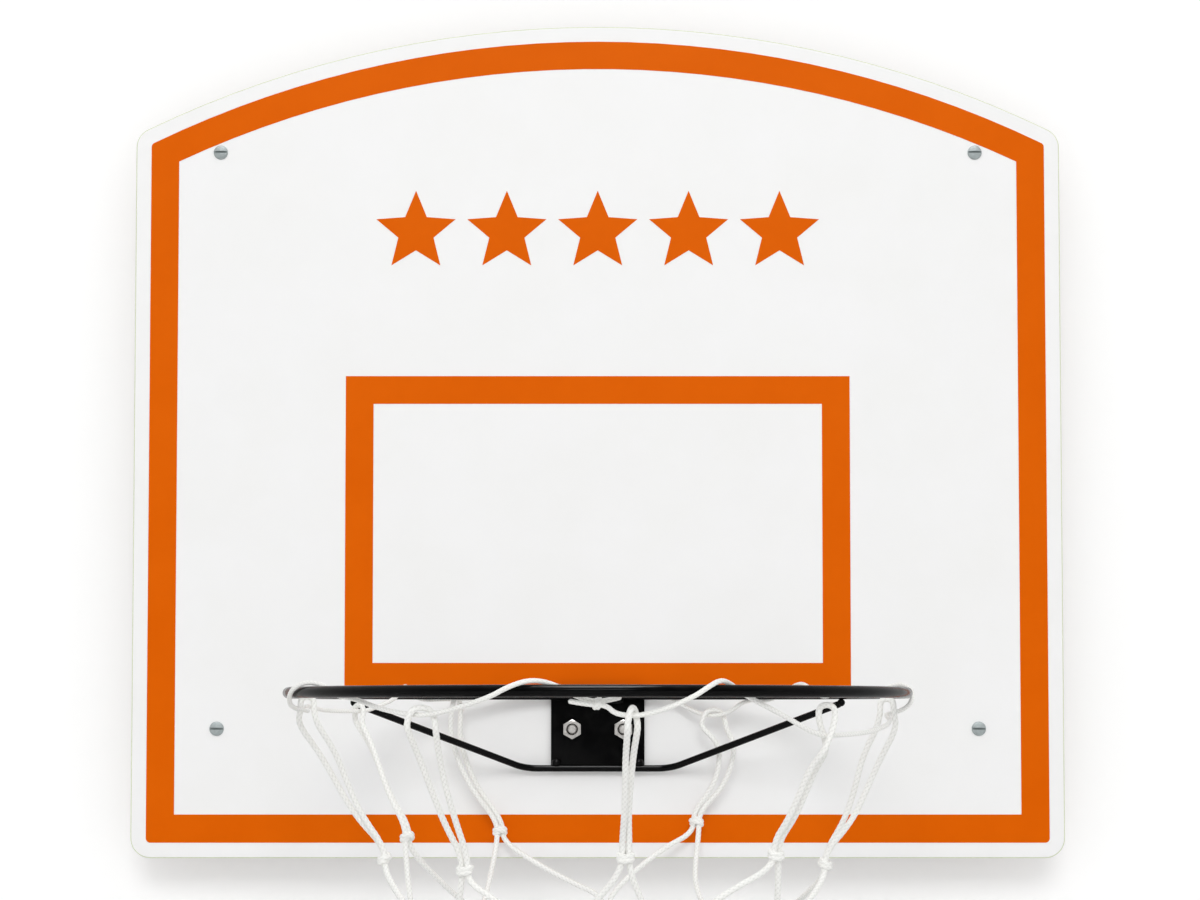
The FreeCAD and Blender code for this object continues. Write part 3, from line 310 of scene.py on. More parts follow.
# Bracket plate: a small rectangle of 3 mm steel, sheared, its corners and edges eased by the paint.
# It lies flat on the panel's face, is bolted through it, and carries the hoop and the brace.
BLACK_PAINT = (colour(7, 7, 8), colour(12, 12, 12))
black_finish, tree, shader, spot = new_finish("black_paint", Specular_IOR_Level=0.06)
cloud = spread_over(tree, mottle(tree, spot, 9 * MM), 0, 1)
paint = mixed(tree, cloud, *BLACK_PAINT)
tree.links.new(paint, shader.inputs["Base Color"])
peel = mottle(tree, spot, 1.1 * MM, 2.0)
tree.links.new(spread_over(tree, cloud, 0.14, 0.24), shader.inputs["Roughness"])
roughen(tree, shader, peel, 0.02 * MM, 0.5)

PLATE_CORNER = 2 * MM
PLATE_EASE = 0.5 * MM


def plate_points():
    """Rings of a rectangle with round corners, carried through the plate's thickness.

    All the rings' corners turn about the same four centres. Near either face their radius and their level
    follow a quarter circle, which eases the edge.
    """
    low, high = corners_of("bracket_plate")
    half_wide, half_tall = (high - low)[[0, 2]] / 2
    middle = (low + high) / 2
    ease = np.linspace(0, np.pi / 2, 5)
    inset = PLATE_EASE * np.concatenate([1 - np.sin(ease), 1 - np.cos(ease)])
    level = np.concatenate(
        [low[1] + PLATE_EASE * (1 - np.cos(ease)), high[1] - PLATE_EASE * (1 - np.sin(ease))]
    )
    turn = np.linspace(0, 2 * np.pi, 64, endpoint=False) + np.pi / 64
    side_x, side_z = np.sign(np.cos(turn)), -np.sign(np.sin(turn))
    reach = (PLATE_CORNER - inset)[:, None]
    x = middle[0] + side_x * (half_wide - PLATE_CORNER) + reach * np.cos(turn)
    z = middle[2] + side_z * (half_tall - PLATE_CORNER) - reach * np.sin(turn)
    return np.stack([x, np.broadcast_to(level[:, None], x.shape), z], axis=-1)


def tube_faces(rows, columns):
    """Quads of rings that are joined into a tube, and a face that closes each end."""
    ends = [list(range(columns))[::-1], list(range((rows - 1) * columns, rows * columns))]
    return grid_faces(rows, columns, True) + ends


plate = plate_points()
plate_faces = tube_faces(*plate.shape[:2])
new_piece("bracket_plate_eased", plate, plate_faces, black_finish, ["bracket_plate"])


# Hoop: one round steel rod bent to a circle and welded closed, painted black.
# It stands off the panel by its own radius, welded to the bracket plate at the rear.
HOOP_STEPS = 320
ROD_STEPS = 28
low, high = corners_of("rim_ring")
ROD = high[2] - low[2]
HOOP_RADIUS = (high[0] - low[0] - ROD) / 2
HOOP_CENTRE = (low + high) / 2


def hoop_points():
    """A torus: a round section, counted by its turn, carried round the hoop's circle."""
    about = np.linspace(0, 2 * np.pi, HOOP_STEPS, endpoint=False)[:, None]
    turn = np.linspace(0, 2 * np.pi, ROD_STEPS, endpoint=False)[None, :]
    reach = HOOP_RADIUS + ROD / 2 * np.cos(turn)
    up = np.broadcast_to(ROD / 2 * np.sin(turn), (HOOP_STEPS, ROD_STEPS))
    return HOOP_CENTRE + np.stack([reach * np.sin(about), -reach * np.cos(about), up], axis=-1)


hoop = hoop_points()
# the row after the last is the first again, which closes the ring
hoop_faces = np.array(grid_faces(HOOP_STEPS + 1, ROD_STEPS, True)) % (HOOP_STEPS * ROD_STEPS)
new_piece("hoop_ring", hoop, hoop_faces.tolist(), black_finish, ["rim_ring"])


# Brace: one thinner steel rod, bent twice, welded along the plate's foot and under the ring at both ends.
# It is painted black with the hoop and keeps the ring from tipping.
def frames(centres, guide):
    """Across and beside directions of a path: the guide less its part along the path, and their cross."""
    ahead = np.gradient(centres, axis=0)
    ahead /= np.linalg.norm(ahead, axis=1, keepdims=True)
    across = guide - (guide * ahead).sum(axis=1, keepdims=True) * ahead
    across /= np.linalg.norm(across, axis=1, keepdims=True)
    return across, np.cross(ahead, across)


def rod_points(centres, guide, radius, columns):
    """A round profile carried along a path, its radius given per ring or per point, and its faces."""
    across, beside = frames(centres, guide)
    turn = np.linspace(0, 2 * np.pi, columns, endpoint=False)[None, :, None]
    spoke = np.cos(turn) * across[:, None, :] + np.sin(turn) * beside[:, None, :]
    radius = np.broadcast_to(np.asarray(radius, float), (len(centres), columns))
    rings = centres[:, None, :] + radius[..., None] * spoke
    return rings, tube_faces(len(centres), columns)


def run_along(path):
    """Length of a path from its start to each of its points."""
    return np.concatenate([[0], np.cumsum(np.linalg.norm(np.diff(path, axis=0), axis=1))])


def round_ends(centres, radius):
    """Radius of each ring of a rod with round ends: a quarter circle over one radius at either end."""
    along = run_along(centres)
    left = np.minimum(along, along[-1] - along)[:, None]
    return radius * np.sqrt(np.clip(1 - (1 - np.clip(left / radius, 0.01, 1)) ** 2, 0, 1))


BRACE_ROD = 4.2 * MM
BRACE_BEND = 22 * MM
BRACE_HALF = 38 * MM
BRACE_STAND = 14.4 * MM
BRACE_END_ANGLE = np.radians(122)
WELD_GAP = 0.3 * MM


def brace_path():
    """The rod's middle line and its guide, in a plane that slants from the plate's foot up to the ring.

    One half is a straight run along the plate, an arc that carries on from it, and the tangent from the
    arc to the arm's end. Its points crowd together at the end, which is round. The other is its mirror.
    """
    foot = np.array([0, -BRACE_STAND, corners_of("brace_rod")[0][2] + BRACE_ROD / 2])
    end_x = HOOP_RADIUS * np.sin(BRACE_END_ANGLE)
    end_y = HOOP_CENTRE[1] - HOOP_RADIUS * np.cos(BRACE_END_ANGLE)
    end_z = HOOP_CENTRE[2] - (ROD + BRACE_ROD) / 2 - WELD_GAP
    slant = np.array([0, end_y - foot[1], end_z - foot[2]])
    reach = np.linalg.norm(slant)
    slant /= reach
    to_end = np.array([end_x - BRACE_HALF, reach - BRACE_BEND])
    bend_end = np.arctan2(to_end[1], to_end[0]) - np.arccos(BRACE_BEND / np.linalg.norm(to_end))
    bend = np.linspace(-np.pi / 2, bend_end, 24)
    bend_x = BRACE_HALF + BRACE_BEND * np.cos(bend)
    bend_up = BRACE_BEND + BRACE_BEND * np.sin(bend)
    tips = 1 - np.geomspace(0.5, 0.001, 40)
    arm_x = bend_x[-1] + (end_x - bend_x[-1]) * tips
    arm_up = bend_up[-1] + (reach - bend_up[-1]) * tips
    half_x = np.concatenate([np.linspace(4 * MM, BRACE_HALF, 10)[:-1], bend_x, arm_x])
    half_up = np.concatenate([np.zeros(9), bend_up, arm_up])
    x = np.concatenate([-half_x[::-1], half_x])
    up = np.concatenate([half_up[::-1], half_up])
    path = foot + x[:, None] * np.array([1, 0, 0]) + up[:, None] * slant
    return path, np.broadcast_to(np.cross(slant, [1, 0, 0]), path.shape)


brace_line, brace_guide = brace_path()
brace, brace_faces = rod_points(brace_line, brace_guide, round_ends(brace_line, BRACE_ROD / 2), 24)
new_piece("brace_rod_bent", brace, brace_faces, black_finish, ["brace_rod"])


# Welds: beads of melted steel, laid by hand in short overlapping steps and painted over.
# Two run along the ring over and under its seat on the plate, and four blobs hold the brace.
def weld_points(start, end, radius, step, wobble):
    """A bead as a rod with round ends, swollen once a step and a little uneven round its section."""
    share = (1 - np.cos(np.linspace(0, np.pi, 72))) / 2
    path = start + share[:, None] * (end - start)
    along = share * np.linalg.norm(end - start)
    turn = np.linspace(0, 2 * np.pi, 24, endpoint=False)[None, :]
    ripple = np.abs(np.sin(np.pi * along / step))[:, None] ** 0.7
    uneven = np.sin(3 * turn + 40 * share[:, None] + wobble) * np.sin(2 * turn + 7 * wobble)
    swell = 1 - 0.07 * (1 - ripple) + 0.03 * uneven
    radius = round_ends(path, radius) * swell
    return rod_points(path, np.broadcast_to([0.3, 0.2, 1.0], path.shape), radius, 24)


BEAD_RADIUS = 2.55 * MM
BEAD_HALF = 17 * MM
BEAD_STEP = 2.3 * MM
BLOBS = (("brace_weld", [0, -0.15, 1], 3.1 * MM), ("arm_weld", [0, -1, 0.3], 2.4 * MM))
BLOB_LEAN = 0.92
BLOB_STEP = 2.6 * MM
plate_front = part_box("bracket_plate")[0][1]
for name, level in (("upper", 1), ("lower", -1)):
    up = HOOP_CENTRE[2] + level * (ROD / 2 + BEAD_RADIUS / 4)
    ends = [np.array([x, plate_front - BEAD_RADIUS / 2, up]) for x in (-BEAD_HALF, BEAD_HALF)]
    bead, bead_faces = weld_points(*ends, BEAD_RADIUS, BEAD_STEP, level)
    new_piece(f"rim_bead_{name}", bead, bead_faces, black_finish, [f"rim_weld_{name}"])
for kind, along, size in BLOBS:
    for side in ("left", "right"):
        node = f"{kind}_{side}"
        low, high = corners_of(node)
        middle = (low + high) / 2
        lean = size * BLOB_LEAN * np.array(along) / np.linalg.norm(along)
        blob, blob_faces = weld_points(middle - lean, middle + lean, size, BLOB_STEP, low[0])
        new_piece(f"{node}_blob", blob, blob_faces, black_finish, [node])


# Two bolts and their nuts: zinc-plated steel, the bolts' slotted heads sunk in the panel's rear.
# Each bolt is turned and its thread rolled, and its nut is drawn up on the plate, points up and down.
BRIGHT_ZINC = (colour(204, 201, 197), colour(168, 166, 163))
BOLT_HEAD = 5.9 * MM
BOLT_SLOT = 1.6 * MM
BOLT_SLOT_DEPTH = 1.4 * MM
BOLT_RADIUS = 3.175 * MM
BOLT_CORE = 2.6 * MM
BOLT_PITCH = 1.27 * MM
BOLT_PLAIN = 9 * MM
BOLT_TIP = 2.3 * MM
BOLT_TAPER = 0.22
BOLT_CROWN = 0.15 * MM


def bolt_points(length):
    """A bolt about its head's middle: a cone under the head, a plain shank and a thread.

    The thread's last turns are cut by a steep cone, and its end is a little crowned.
    """
    head = slotted_head(BOLT_HEAD, 0, 0, BOLT_SLOT, -BOLT_SLOT_DEPTH)
    plain = [(BOLT_HEAD - BOLT_RADIUS, BOLT_RADIUS), (BOLT_PLAIN, BOLT_RADIUS)]
    end = length - BOLT_CROWN
    along = np.append(np.arange(BOLT_PLAIN, end, BOLT_PITCH / 9), end)
    radius = threaded(along, edge_of(head)[1], BOLT_CORE, BOLT_RADIUS - BOLT_CORE, BOLT_PITCH)
    radius = np.minimum(radius, BOLT_TIP + BOLT_TAPER * (end - along)[:, None])
    crown = np.array([0.66, 0.33, 0.02])[:, None] * radius[-1]
    along = np.append(along, end + BOLT_CROWN * np.array([0.56, 0.89, 1]))
    return turned_points(head, plain, along, np.concatenate([radius, crown]))


NUT_FLAT = 5.55 * MM
NUT_HEIGHT = 5.5 * MM
NUT_BEVEL = np.radians(30)
NUT_BORE = 3.6 * MM
NUT_MOUTH = 3.9 * MM
NUT_SINK = 0.4 * MM


def nut_points():
    """A nut about its seat: rings of a hexagon's radius, cut at the corners by a flat cone.

    They run up the bore, out over its mouth and the face to the cone, and down the sides to the seat.
    """
    turn = np.linspace(0, 2 * np.pi, 96, endpoint=False)
    side = NUT_FLAT / np.cos((turn + np.pi / 6) % (np.pi / 3) - np.pi / 6)
    fall = (side - NUT_FLAT) * np.tan(NUT_BEVEL)
    level = np.ones(len(turn))
    radius = [NUT_BORE * level, NUT_BORE * level, NUT_MOUTH * level, 0.97 * NUT_FLAT * level, side, side]
    up = [0 * level, (NUT_HEIGHT - NUT_SINK) * level, NUT_HEIGHT * level, NUT_HEIGHT * level]
    up += [NUT_HEIGHT - 0.03 * NUT_FLAT * np.tan(NUT_BEVEL) - fall, 0 * level]
    rings = np.stack([radius * np.cos(turn), -np.array(up), radius * np.sin(turn)], axis=-1)
    rings = np.concatenate([rings, rings[:1]])
    return rings, grid_faces(*rings.shape[:2], True)


nut_finish = zinc_finish("bright_zinc", *BRIGHT_ZINC, gloss=0.55, rough=0.34)
nut, nut_faces = nut_points()
for side in ("left", "right"):
    node = f"bracket_bolt_{side}"
    low, high = corners_of(node)
    bolt, bolt_faces = bolt_points(high[1] - low[1])
    axis = np.array([(low[0] + high[0]) / 2, 0, (low[2] + high[2]) / 2])
    bolt = bolt * [-1, -1, 1] + axis + [0, high[1], 0]
    new_piece(f"{node}_threaded", bolt, bolt_faces, nut_finish, [node], sharp=50)
    node = f"bracket_nut_{side}"
    seated = nut + axis + [0, plate_front, 0]
    new_piece(f"{node}_drawn_up", seated, nut_faces, nut_finish, [node], sharp=20)


# Lacing: one white braided cord, wound round the hoop and under the net's eight loops.
# It starts and ends at the front, where its two tails are tied together.
# A loop has its angle and mm outwards on the ring, how far the lacing sags under it and how far it stands
# over the lacing, how its two legs lean and spread along the ring and open across it, how they swing and
# swell on their way and tuck behind each other, and its knot's angle, mm outwards and drop.
Loop = namedtuple(
    "Loop", "angle out sag stand lean spread open swing swell tuck knot_angle knot_out knot_drop"
)
LOOPS = [
    Loop(-150.7, 9.5, -6.0, 0, 2.2, 5.2, 0, 11.0, 0, 0.25, -159.8, 6.5, 86.8),
    Loop(-119, -10.0, 1.6, 0, 0.6, 2.4, 0, 0, 3.2, 0.1, -120.0, -43.5, 85.0),
    Loop(-82, -10.5, 1.2, 4, 0.6, 3.0, 3.9, 0, 4.5, 0, -84.0, -54, 93.0),
    Loop(-31.2, -2.0, 3.2, 0, 3.1, 6.2, 0, -3.2, 0, 0, -33.0, -47, 92.5),
    Loop(5.8, -3.0, 3.4, 0, 1.45, 2.9, 0, -0.6, 0, 0.65, 6.3, -44, 84.5),
    Loop(44, -4.0, 13.8, 12, -1.4, 5.4, 0, 0, 3.0, 0, 43.4, -38, 85.2),
    Loop(80, -11.0, 3.4, 5, 0.6, 3.0, 5.0, 0, 5.0, 0, 83.0, -46, 95.6),
    Loop(155.7, 5.0, 4.4, 0, 3.3, 5.8, 0, -14.0, 0, 0.3, 159.7, 7, 81.0),
]
TWINE = 3.3
LACING = 2.6
CORD_GAP = 0.5
ROD_MM = ROD / MM
PASS_TURN = 2.6


def about_ring(angle, out, up, along=0):
    """A point by its degrees round the hoop from the front, and mm outwards, up and along the ring."""
    outwards = np.array([np.sin(np.radians(angle)), -np.cos(np.radians(angle)), 0])
    sideways = np.array([np.cos(np.radians(angle)), np.sin(np.radians(angle)), 0])
    offset = outwards * out + sideways * along + np.array([0, 0, up])
    return HOOP_CENTRE + outwards * HOOP_RADIUS + offset * MM


def lacing_level(loop):
    """How far under the rod's middle the lacing passes through a loop."""
    return (ROD_MM + LACING) / 2 + TWINE + 2 * CORD_GAP + loop.sag


def wrap(angle, advance, slack=0):
    """Five points of a turn round the rod, 60 degrees apart, moving along the ring by advance each."""
    reach = ((ROD_MM + LACING) / 2 + CORD_GAP + slack) / np.cos(np.radians(30))
    steps = [(number * advance, np.radians(80 + number * 60)) for number in range(-2, 3)]
    return [about_ring(angle + ahead, reach * np.cos(t), reach * np.sin(t)) for ahead, t in steps]


def under_loop(number):
    """Two points that carry the lacing level through a loop."""
    loop = LOOPS[number]
    level = -lacing_level(loop)
    return [about_ring(loop.angle + turn, loop.out, level) for turn in (-PASS_TURN, PASS_TURN)]


TIE_FIRST = (-6.9, -6.9)
TIE_SECOND = (-10.1, -5.1)
TIE_TURN = 1.4


def tie_pass(end):
    """Two points of one of the lacing's ends, each side of the knot."""
    return [about_ring(turn, *end) for turn in (-TIE_TURN, TIE_TURN)]


LACING_ROUTE = [
    about_ring(-4.9, -2.4, -5.0),
    *tie_pass(TIE_FIRST),
    *under_loop(4),
    *wrap(20.5, 2.7),
    about_ring(33.5, -6.5, -11),
    *under_loop(5),
    about_ring(57, -3, -21.5),
    about_ring(68, -2.5, -16.5),
    *under_loop(6),
    about_ring(86.2, -0.6, -9.0),
    *wrap(95.5, 3.2),
    about_ring(109, -8.0, 0.4),
    about_ring(119, -9.0, 0.9),
    *wrap(134.5, -4.6, 1.4)[::-1],
    about_ring(148.5, 6.0, -2.6),
    *under_loop(7),
    *wrap(170, 3.0)[:3],
    about_ring(180.5, -5.0, 4.0),
    about_ring(190.5, 1.0, 6.2),
    about_ring(195, 6.2, 2.0),
    *under_loop(0),
    *wrap(223, 2.2),
    about_ring(231.5, -10.5, -5.0),
    *under_loop(1),
    about_ring(254, -5, -10.0),
    about_ring(264, -5.5, -6.5),
    *under_loop(2),
    about_ring(286.3, 0.2, -8.4),
    *wrap(297.5, 3.6),
    about_ring(311, -6.2, -3.5),
    about_ring(319, -4.0, -9.0),
    *under_loop(3),
    *wrap(349, 3.4),
    *tie_pass(TIE_SECOND),
    about_ring(4.2, -11.8, -3.0),
]


def smooth_line(name, route, step):
    """Points step metres apart on the smooth line that has the route's points as its control points."""
    data = bpy.data.curves.new(name, "CURVE")
    data.dimensions = "3D"
    data.resolution_u = 40
    spline = data.splines.new("NURBS")
    spline.points.add(len(route) - 1)
    spline.points.foreach_set("co", np.c_[np.array(route), np.ones(len(route))].ravel())
    spline.order_u = 3
    spline.use_endpoint_u = True
    holder = bpy.data.objects.new(name, data)
    mesh = bpy.data.meshes.new_from_object(holder)
    line = np.empty(len(mesh.vertices) * 3)
    mesh.vertices.foreach_get("co", line)
    line = line.reshape(-1, 3)
    bpy.data.objects.remove(holder)
    bpy.data.curves.remove(data)
    bpy.data.meshes.remove(mesh)
    along = run_along(line)
    even = np.linspace(0, along[-1], int(along[-1] / step) + 2)
    return np.stack([np.interp(even, along, line[:, axis]) for axis in range(3)], axis=1), even


PLAITS = 4
LEAD = 3.7
GROOVE_SHARE = 0.93
RELIEF_SHARE = 0.1
CORD_STEP = 0.6 * MM
CORD_COLUMNS = 24


def braid(along, turn, diameter):
    """Relief of a plaited cord, from 0 in its grooves to 1 on its crests.

    Two sets of strands wind round the cord in opposite directions. In a chequer of cells one set or the
    other lies on top, rounded across its strand and dipping where it goes under.
    """
    first = PLAITS * (turn + along / (LEAD * diameter))
    second = PLAITS * (turn - along / (LEAD * diameter))
    across, beside = np.sin(np.pi * first), np.sin(np.pi * second)
    on_top = 0.5 + 0.5 * np.tanh(4 * across * beside)
    across, beside = np.abs(across), np.abs(beside)
    return on_top * across * (0.55 + 0.45 * beside) + (1 - on_top) * beside * (0.55 + 0.45 * across)


def braided_points(centres, along, guide, diameter, columns):
    """A plaited cord along a path: a round profile raised by the braid's relief, and that relief."""
    turn = np.linspace(0, 1, columns, endpoint=False)[None, :]
    relief = braid(along[:, None], turn, diameter)
    radius = round_ends(centres, diameter / 2) * (GROOVE_SHARE + RELIEF_SHARE * relief)
    rings, faces = rod_points(centres, guide, radius, columns)
    return rings, faces, relief


# Painted shade: the braid's grooves, read from the relief attribute, take a darker grey that fades to the
# yarn's own mottled whites on its crests.
UNSHADED_YARN = (colour(251, 251, 248), colour(241, 241, 237))
PAINTED_GROOVE_SHADE = colour(222, 222, 218)
cord_finish, tree, shader, spot = new_finish(
    "white_braided_cord", Roughness=0.72, Specular_IOR_Level=0.3, Sheen_Weight=0.15, Sheen_Roughness=0.5
)
crest = add_node(tree, "ShaderNodeAttribute", {}, attribute_name="relief").outputs["Fac"]
lit = add_node(tree, "ShaderNodeMapRange", {"Value": crest, "From Max": 0.55}).outputs["Result"]
yarn = spread_over(tree, mottle(tree, spot, 0.5 * MM, 4.0, 0.65), 0, 1)
unshaded_yarn = mixed(tree, yarn, *UNSHADED_YARN)
tree.links.new(mixed(tree, lit, PAINTED_GROOVE_SHADE, unshaded_yarn), shader.inputs["Base Color"])
roughen(tree, shader, yarn, 0.05 * MM, 0.6)


def outwards_at(centres):
    """Level directions from the hoop's axis to each point of a path."""
    level = (centres - HOOP_CENTRE) * np.array([1, 1, 0])
    return level / np.linalg.norm(level, axis=1, keepdims=True)


def from_rod(centres):
    """Directions from the nearest point of the rod's middle line to each point of a path."""
    return centres - HOOP_CENTRE - HOOP_RADIUS * outwards_at(centres)


lacing_line, along = smooth_line("lacing_line", LACING_ROUTE, CORD_STEP)
lacing, lacing_faces, relief = braided_points(
    lacing_line, along, from_rod(lacing_line), LACING * MM, CORD_COLUMNS
)
lacing_piece = new_piece(
    "lacing_braid", lacing, lacing_faces, cord_finish, ["lacing_cord"], sharp=80
)
keep(lacing_piece, "relief", relief)


# Lacing knot: the lacing's two ends tied over each other in an overhand knot under the front of the hoop.
# It is the same braided cord, pulled tight into a lump.
def knot_points(centre, strand, pair, diameter):
    """A knot's lump: a cord that winds about two strands, sinks along them and tucks in both its ends.

    Its middle line goes round an oval, wider along pair, while it moves down the strands and tilts once
    a turn; at its ends the oval shrinks, so that they go inside.
    """
    share = np.linspace(0, 1, 120)
    turn = 2 * np.pi * (2.15 * share + 0.1)
    tuck = np.clip(np.minimum(share, 1 - share) / 0.16, 0, 1)
    oval = 0.4 + 0.6 * tuck * tuck * (3 - 2 * tuck)
    wide, deep = 1.0 * diameter * oval, 0.8 * diameter * oval
    fall = diameter * (0.62 * (1 - 2 * share) + 0.3 * np.sin(turn + 0.6))
    axes = np.stack([pair, np.cross(strand, pair), strand])
    local = np.stack([wide * np.cos(turn), deep * np.sin(turn), fall], axis=1)
    path = centre + local @ axes
    guide = np.broadcast_to(strand, path.shape)
    return braided_points(path, run_along(path), guide, 0.98 * diameter, 16)


first, second = about_ring(0, *TIE_FIRST), about_ring(0, *TIE_SECOND)
apart = (second - first) / np.linalg.norm(second - first)
knot, knot_faces, relief = knot_points(
    (first + second) / 2, np.array([1.0, 0, 0]), apart, LACING * MM
)
knot_piece = new_piece(
    "lacing_knot_tied", knot, knot_faces, cord_finish, ["lacing_knot"], sharp=80
)
keep(knot_piece, "relief", relief)


# Net: eight white braided cords, each folded in two over the lacing so that its legs hang down.
# Neighbouring legs are knotted together row by row into meshes that draw in towards the bottom.
Knot = namedtuple("Knot", "angle out drop")
SECOND_ROW = [
    Knot(-148.5, -34, 140),
    Knot(-111, -57, 131),
    Knot(-48, -56, 137),
    Knot(-13, -56, 138),
    Knot(18, -56, 138),
    Knot(53, -54, 137),
    Knot(134, -39, 148),
    Knot(178, -24, 133),
]
DRAWN_IN = (8, 5, 3)
NET_PITCH = 57
NET_TAIL = 12
KNOT_RUN = 13
STRAND_GAP = 0.3
FOLD_GAP = 0.7
STRAND_HALF = (TWINE + STRAND_GAP) / 2
# three places on a leg: the share of the way to the knot, and the shares that are left there of the
# spread, of the fold's width, of the swing and of the swell
STRANDS = (
    (0.3, 0.7, 0.5, 0.9, 0.4),
    (0.54, 0.45, 0.3, 1.0, 0.8),
    (0.77, 0.3, 0.2, 0.75, 1.0),
)
OPEN_AT_FOLD = 0.4
TUCKED = 1.1
BOWS = (-1.8, 2.4)
# mm by which a leg under the first knot hangs aside, back and up, by its loop and side
SLACK = {
    (3, -1): (3, 0, 0),
    (3, 1): (0, 0, 5),
    (5, -1): (-6, 0, 3),
    (7, -1): (-15.5, 0, -12),
    (7, 1): (0, 0, 6),
}
TAIL_OUT = 1.5
TAIL_ASIDE = 2
NET_LENGTHS = (0.820, 0.783, 0.865, 0.766, 0.735, 0.781, 0.985, 0.879)


def net_rows():
    """Five rows of eight knots; from the third on, a knot hangs midway under the two that carry it."""
    rows = [[Knot(loop.knot_angle, loop.knot_out, loop.knot_drop) for loop in LOOPS], SECOND_ROW]
    for number, drawn in enumerate(DRAWN_IN):
        above, ahead, row = rows[-1], number % 2, []
        for i in range(len(LOOPS)):
            first, second = above[i - 1 + ahead], above[(i + ahead) % len(LOOPS)]
            between = (second.angle - first.angle) % 360
            row.append(
                Knot(
                    first.angle + between / 2,
                    (first.out + second.out) / 2 - drawn,
                    (first.drop + second.drop) / 2 + NET_PITCH,
                )
            )
        rows.append(row)
    return rows


def knot_pass(knot, side):
    """Two points of a strand that runs straight down through a knot."""
    return [
        about_ring(knot.angle, knot.out, up - knot.drop, side * STRAND_HALF)
        for up in (KNOT_RUN / 2, -KNOT_RUN / 2)
    ]


def leg_route(number, side, rows):
    """One leg of a cord from the fold over the lacing down to its tail."""
    loop, first = LOOPS[number], rows[0][number]
    hang = -lacing_level(loop)
    fold = (TWINE + LACING) / 2 + FOLD_GAP
    top = hang + fold + loop.stand
    knot_top = KNOT_RUN / 2 - first.drop
    aside = max(loop.spread, 2 * loop.lean)
    foot = fold + OPEN_AT_FOLD * loop.open
    route = [
        about_ring(loop.angle, loop.out - side * fold, top, side * loop.lean),
        about_ring(loop.angle, loop.out - side * fold, top - 2 * fold, side * 2 * loop.lean),
        about_ring(loop.angle, loop.out - side * foot, hang - 2 * fold, side * aside),
    ]
    close = (STRAND_HALF + STRAND_GAP / 2) * (1 - loop.tuck)
    for share, parted, behind, swung, swollen in STRANDS:
        inwards = behind * fold + parted * loop.open + loop.tuck * (1 - behind) * TUCKED * TWINE
        route.append(
            about_ring(
                loop.angle + share * (first.angle - loop.angle),
                loop.out + share * (first.out - loop.out) + swollen * loop.swell - side * inwards,
                hang + share * (knot_top - hang),
                side * (close + parted * (loop.spread - close)) + swung * loop.swing,
            )
        )
    route += knot_pass(first, side)
    for depth in range(1, len(rows)):
        shared = depth % 2 == 1
        column = (number - 1 if side < 0 else number) % len(LOOPS) if shared else number
        above = route[-1]
        below = knot_pass(rows[depth][column], -side if shared else side)
        bow = BOWS[(number + depth) % 2]
        slack = np.array([0, bow, -abs(bow)]) * MM
        if depth == 1:
            slack = slack + np.array(SLACK.get((number, side), (0, 0, 0))) * MM
        route += [above + (below[0] - above) * share + slack for share in (1 / 3, 2 / 3)]
        route += below
    last = rows[-1][number]
    end = -last.drop - KNOT_RUN / 2 - NET_TAIL
    route.append(
        about_ring(last.angle, last.out + TAIL_OUT, end, side * (STRAND_HALF + TAIL_ASIDE))
    )
    return route


def along_ring(centres):
    """Level directions along the ring at each point of a path."""
    return np.cross(outwards_at(centres), [0, 0, 1])


knot_rows = net_rows()
for number, length in enumerate(NET_LENGTHS):
    route = leg_route(number, -1, knot_rows)[::-1] + leg_route(number, 1, knot_rows)
    line, along = smooth_line("net_line", route, CORD_STEP)
    cord, cord_faces, relief = braided_points(
        line, along, along_ring(line), TWINE * MM, CORD_COLUMNS
    )
    node = f"net_cord_{number + 1}"
    piece = new_piece(f"{node}_braid", cord, cord_faces, cord_finish, [node], sharp=80)
    keep(piece, "relief", relief)


# Net knots: at each crossing two legs are tied together in a tight overhand knot.
# A row of eight goes round the net, all of the net's own cord.
for number, row in enumerate(knot_rows, start=1):
    points, faces, reliefs = [], [], []
    for knot in row:
        centre = about_ring(knot.angle, knot.out, -knot.drop)
        sideways = (about_ring(knot.angle, knot.out, -knot.drop, 1) - centre) / MM
        rings, quads, relief = knot_points(centre, np.array([0, 0, 1.0]), sideways, TWINE * MM)
        first = sum(len(part) for part in points)
        points.append(rings.reshape(-1, 3))
        faces += [[corner + first for corner in quad] for quad in quads]
        reliefs.append(relief.ravel())
    node = f"net_knots_row_{number}"
    piece = new_piece(
        f"{node}_tied", np.concatenate(points), faces, cord_finish, [node], sharp=80
    )
    keep(piece, "relief", np.concatenate(reliefs))


# Stage: a white wall close behind the screws' tips that bends into a pale floor under the net.
# Seen from behind or below it is clear, so that the part's rear shows.
WALL_Y = 0.037
FLOOR_Z = -0.66
SWEEP = 0.3
SHEET_REACH = 4.0
SHEET_TOP = 3.0
WALL_GREY = (0.75, 0.75, 0.75, 1)
WALL_LIFT = 0.3
corner = np.linspace(0, np.pi / 2, 17)
sheet_y = np.concatenate([[WALL_Y], WALL_Y - SWEEP * (1 - np.cos(corner)), [-SHEET_REACH]])
sheet_z = np.concatenate([[SHEET_TOP], FLOOR_Z + SWEEP * (1 - np.sin(corner)), [FLOOR_Z]])
sheet_x = np.array([-SHEET_REACH, SHEET_REACH])
sheet = np.stack(
    [
        np.broadcast_to(sheet_x[None, :], (len(sheet_y), 2)),
        np.broadcast_to(sheet_y[:, None], (len(sheet_y), 2)),
        np.broadcast_to(sheet_z[:, None], (len(sheet_y), 2)),
    ],
    axis=-1,
)
stage_mesh = bpy.data.meshes.new("wall_and_floor")
stage_faces = [quad[::-1] for quad in grid_faces(len(sheet_y), 2, False)]
stage_mesh.from_pydata(sheet.reshape(-1, 3).tolist(), [], stage_faces)
stage_mesh.shade_smooth()
stage = bpy.data.objects.new("wall_and_floor", stage_mesh)
bpy.context.collection.objects.link(stage)
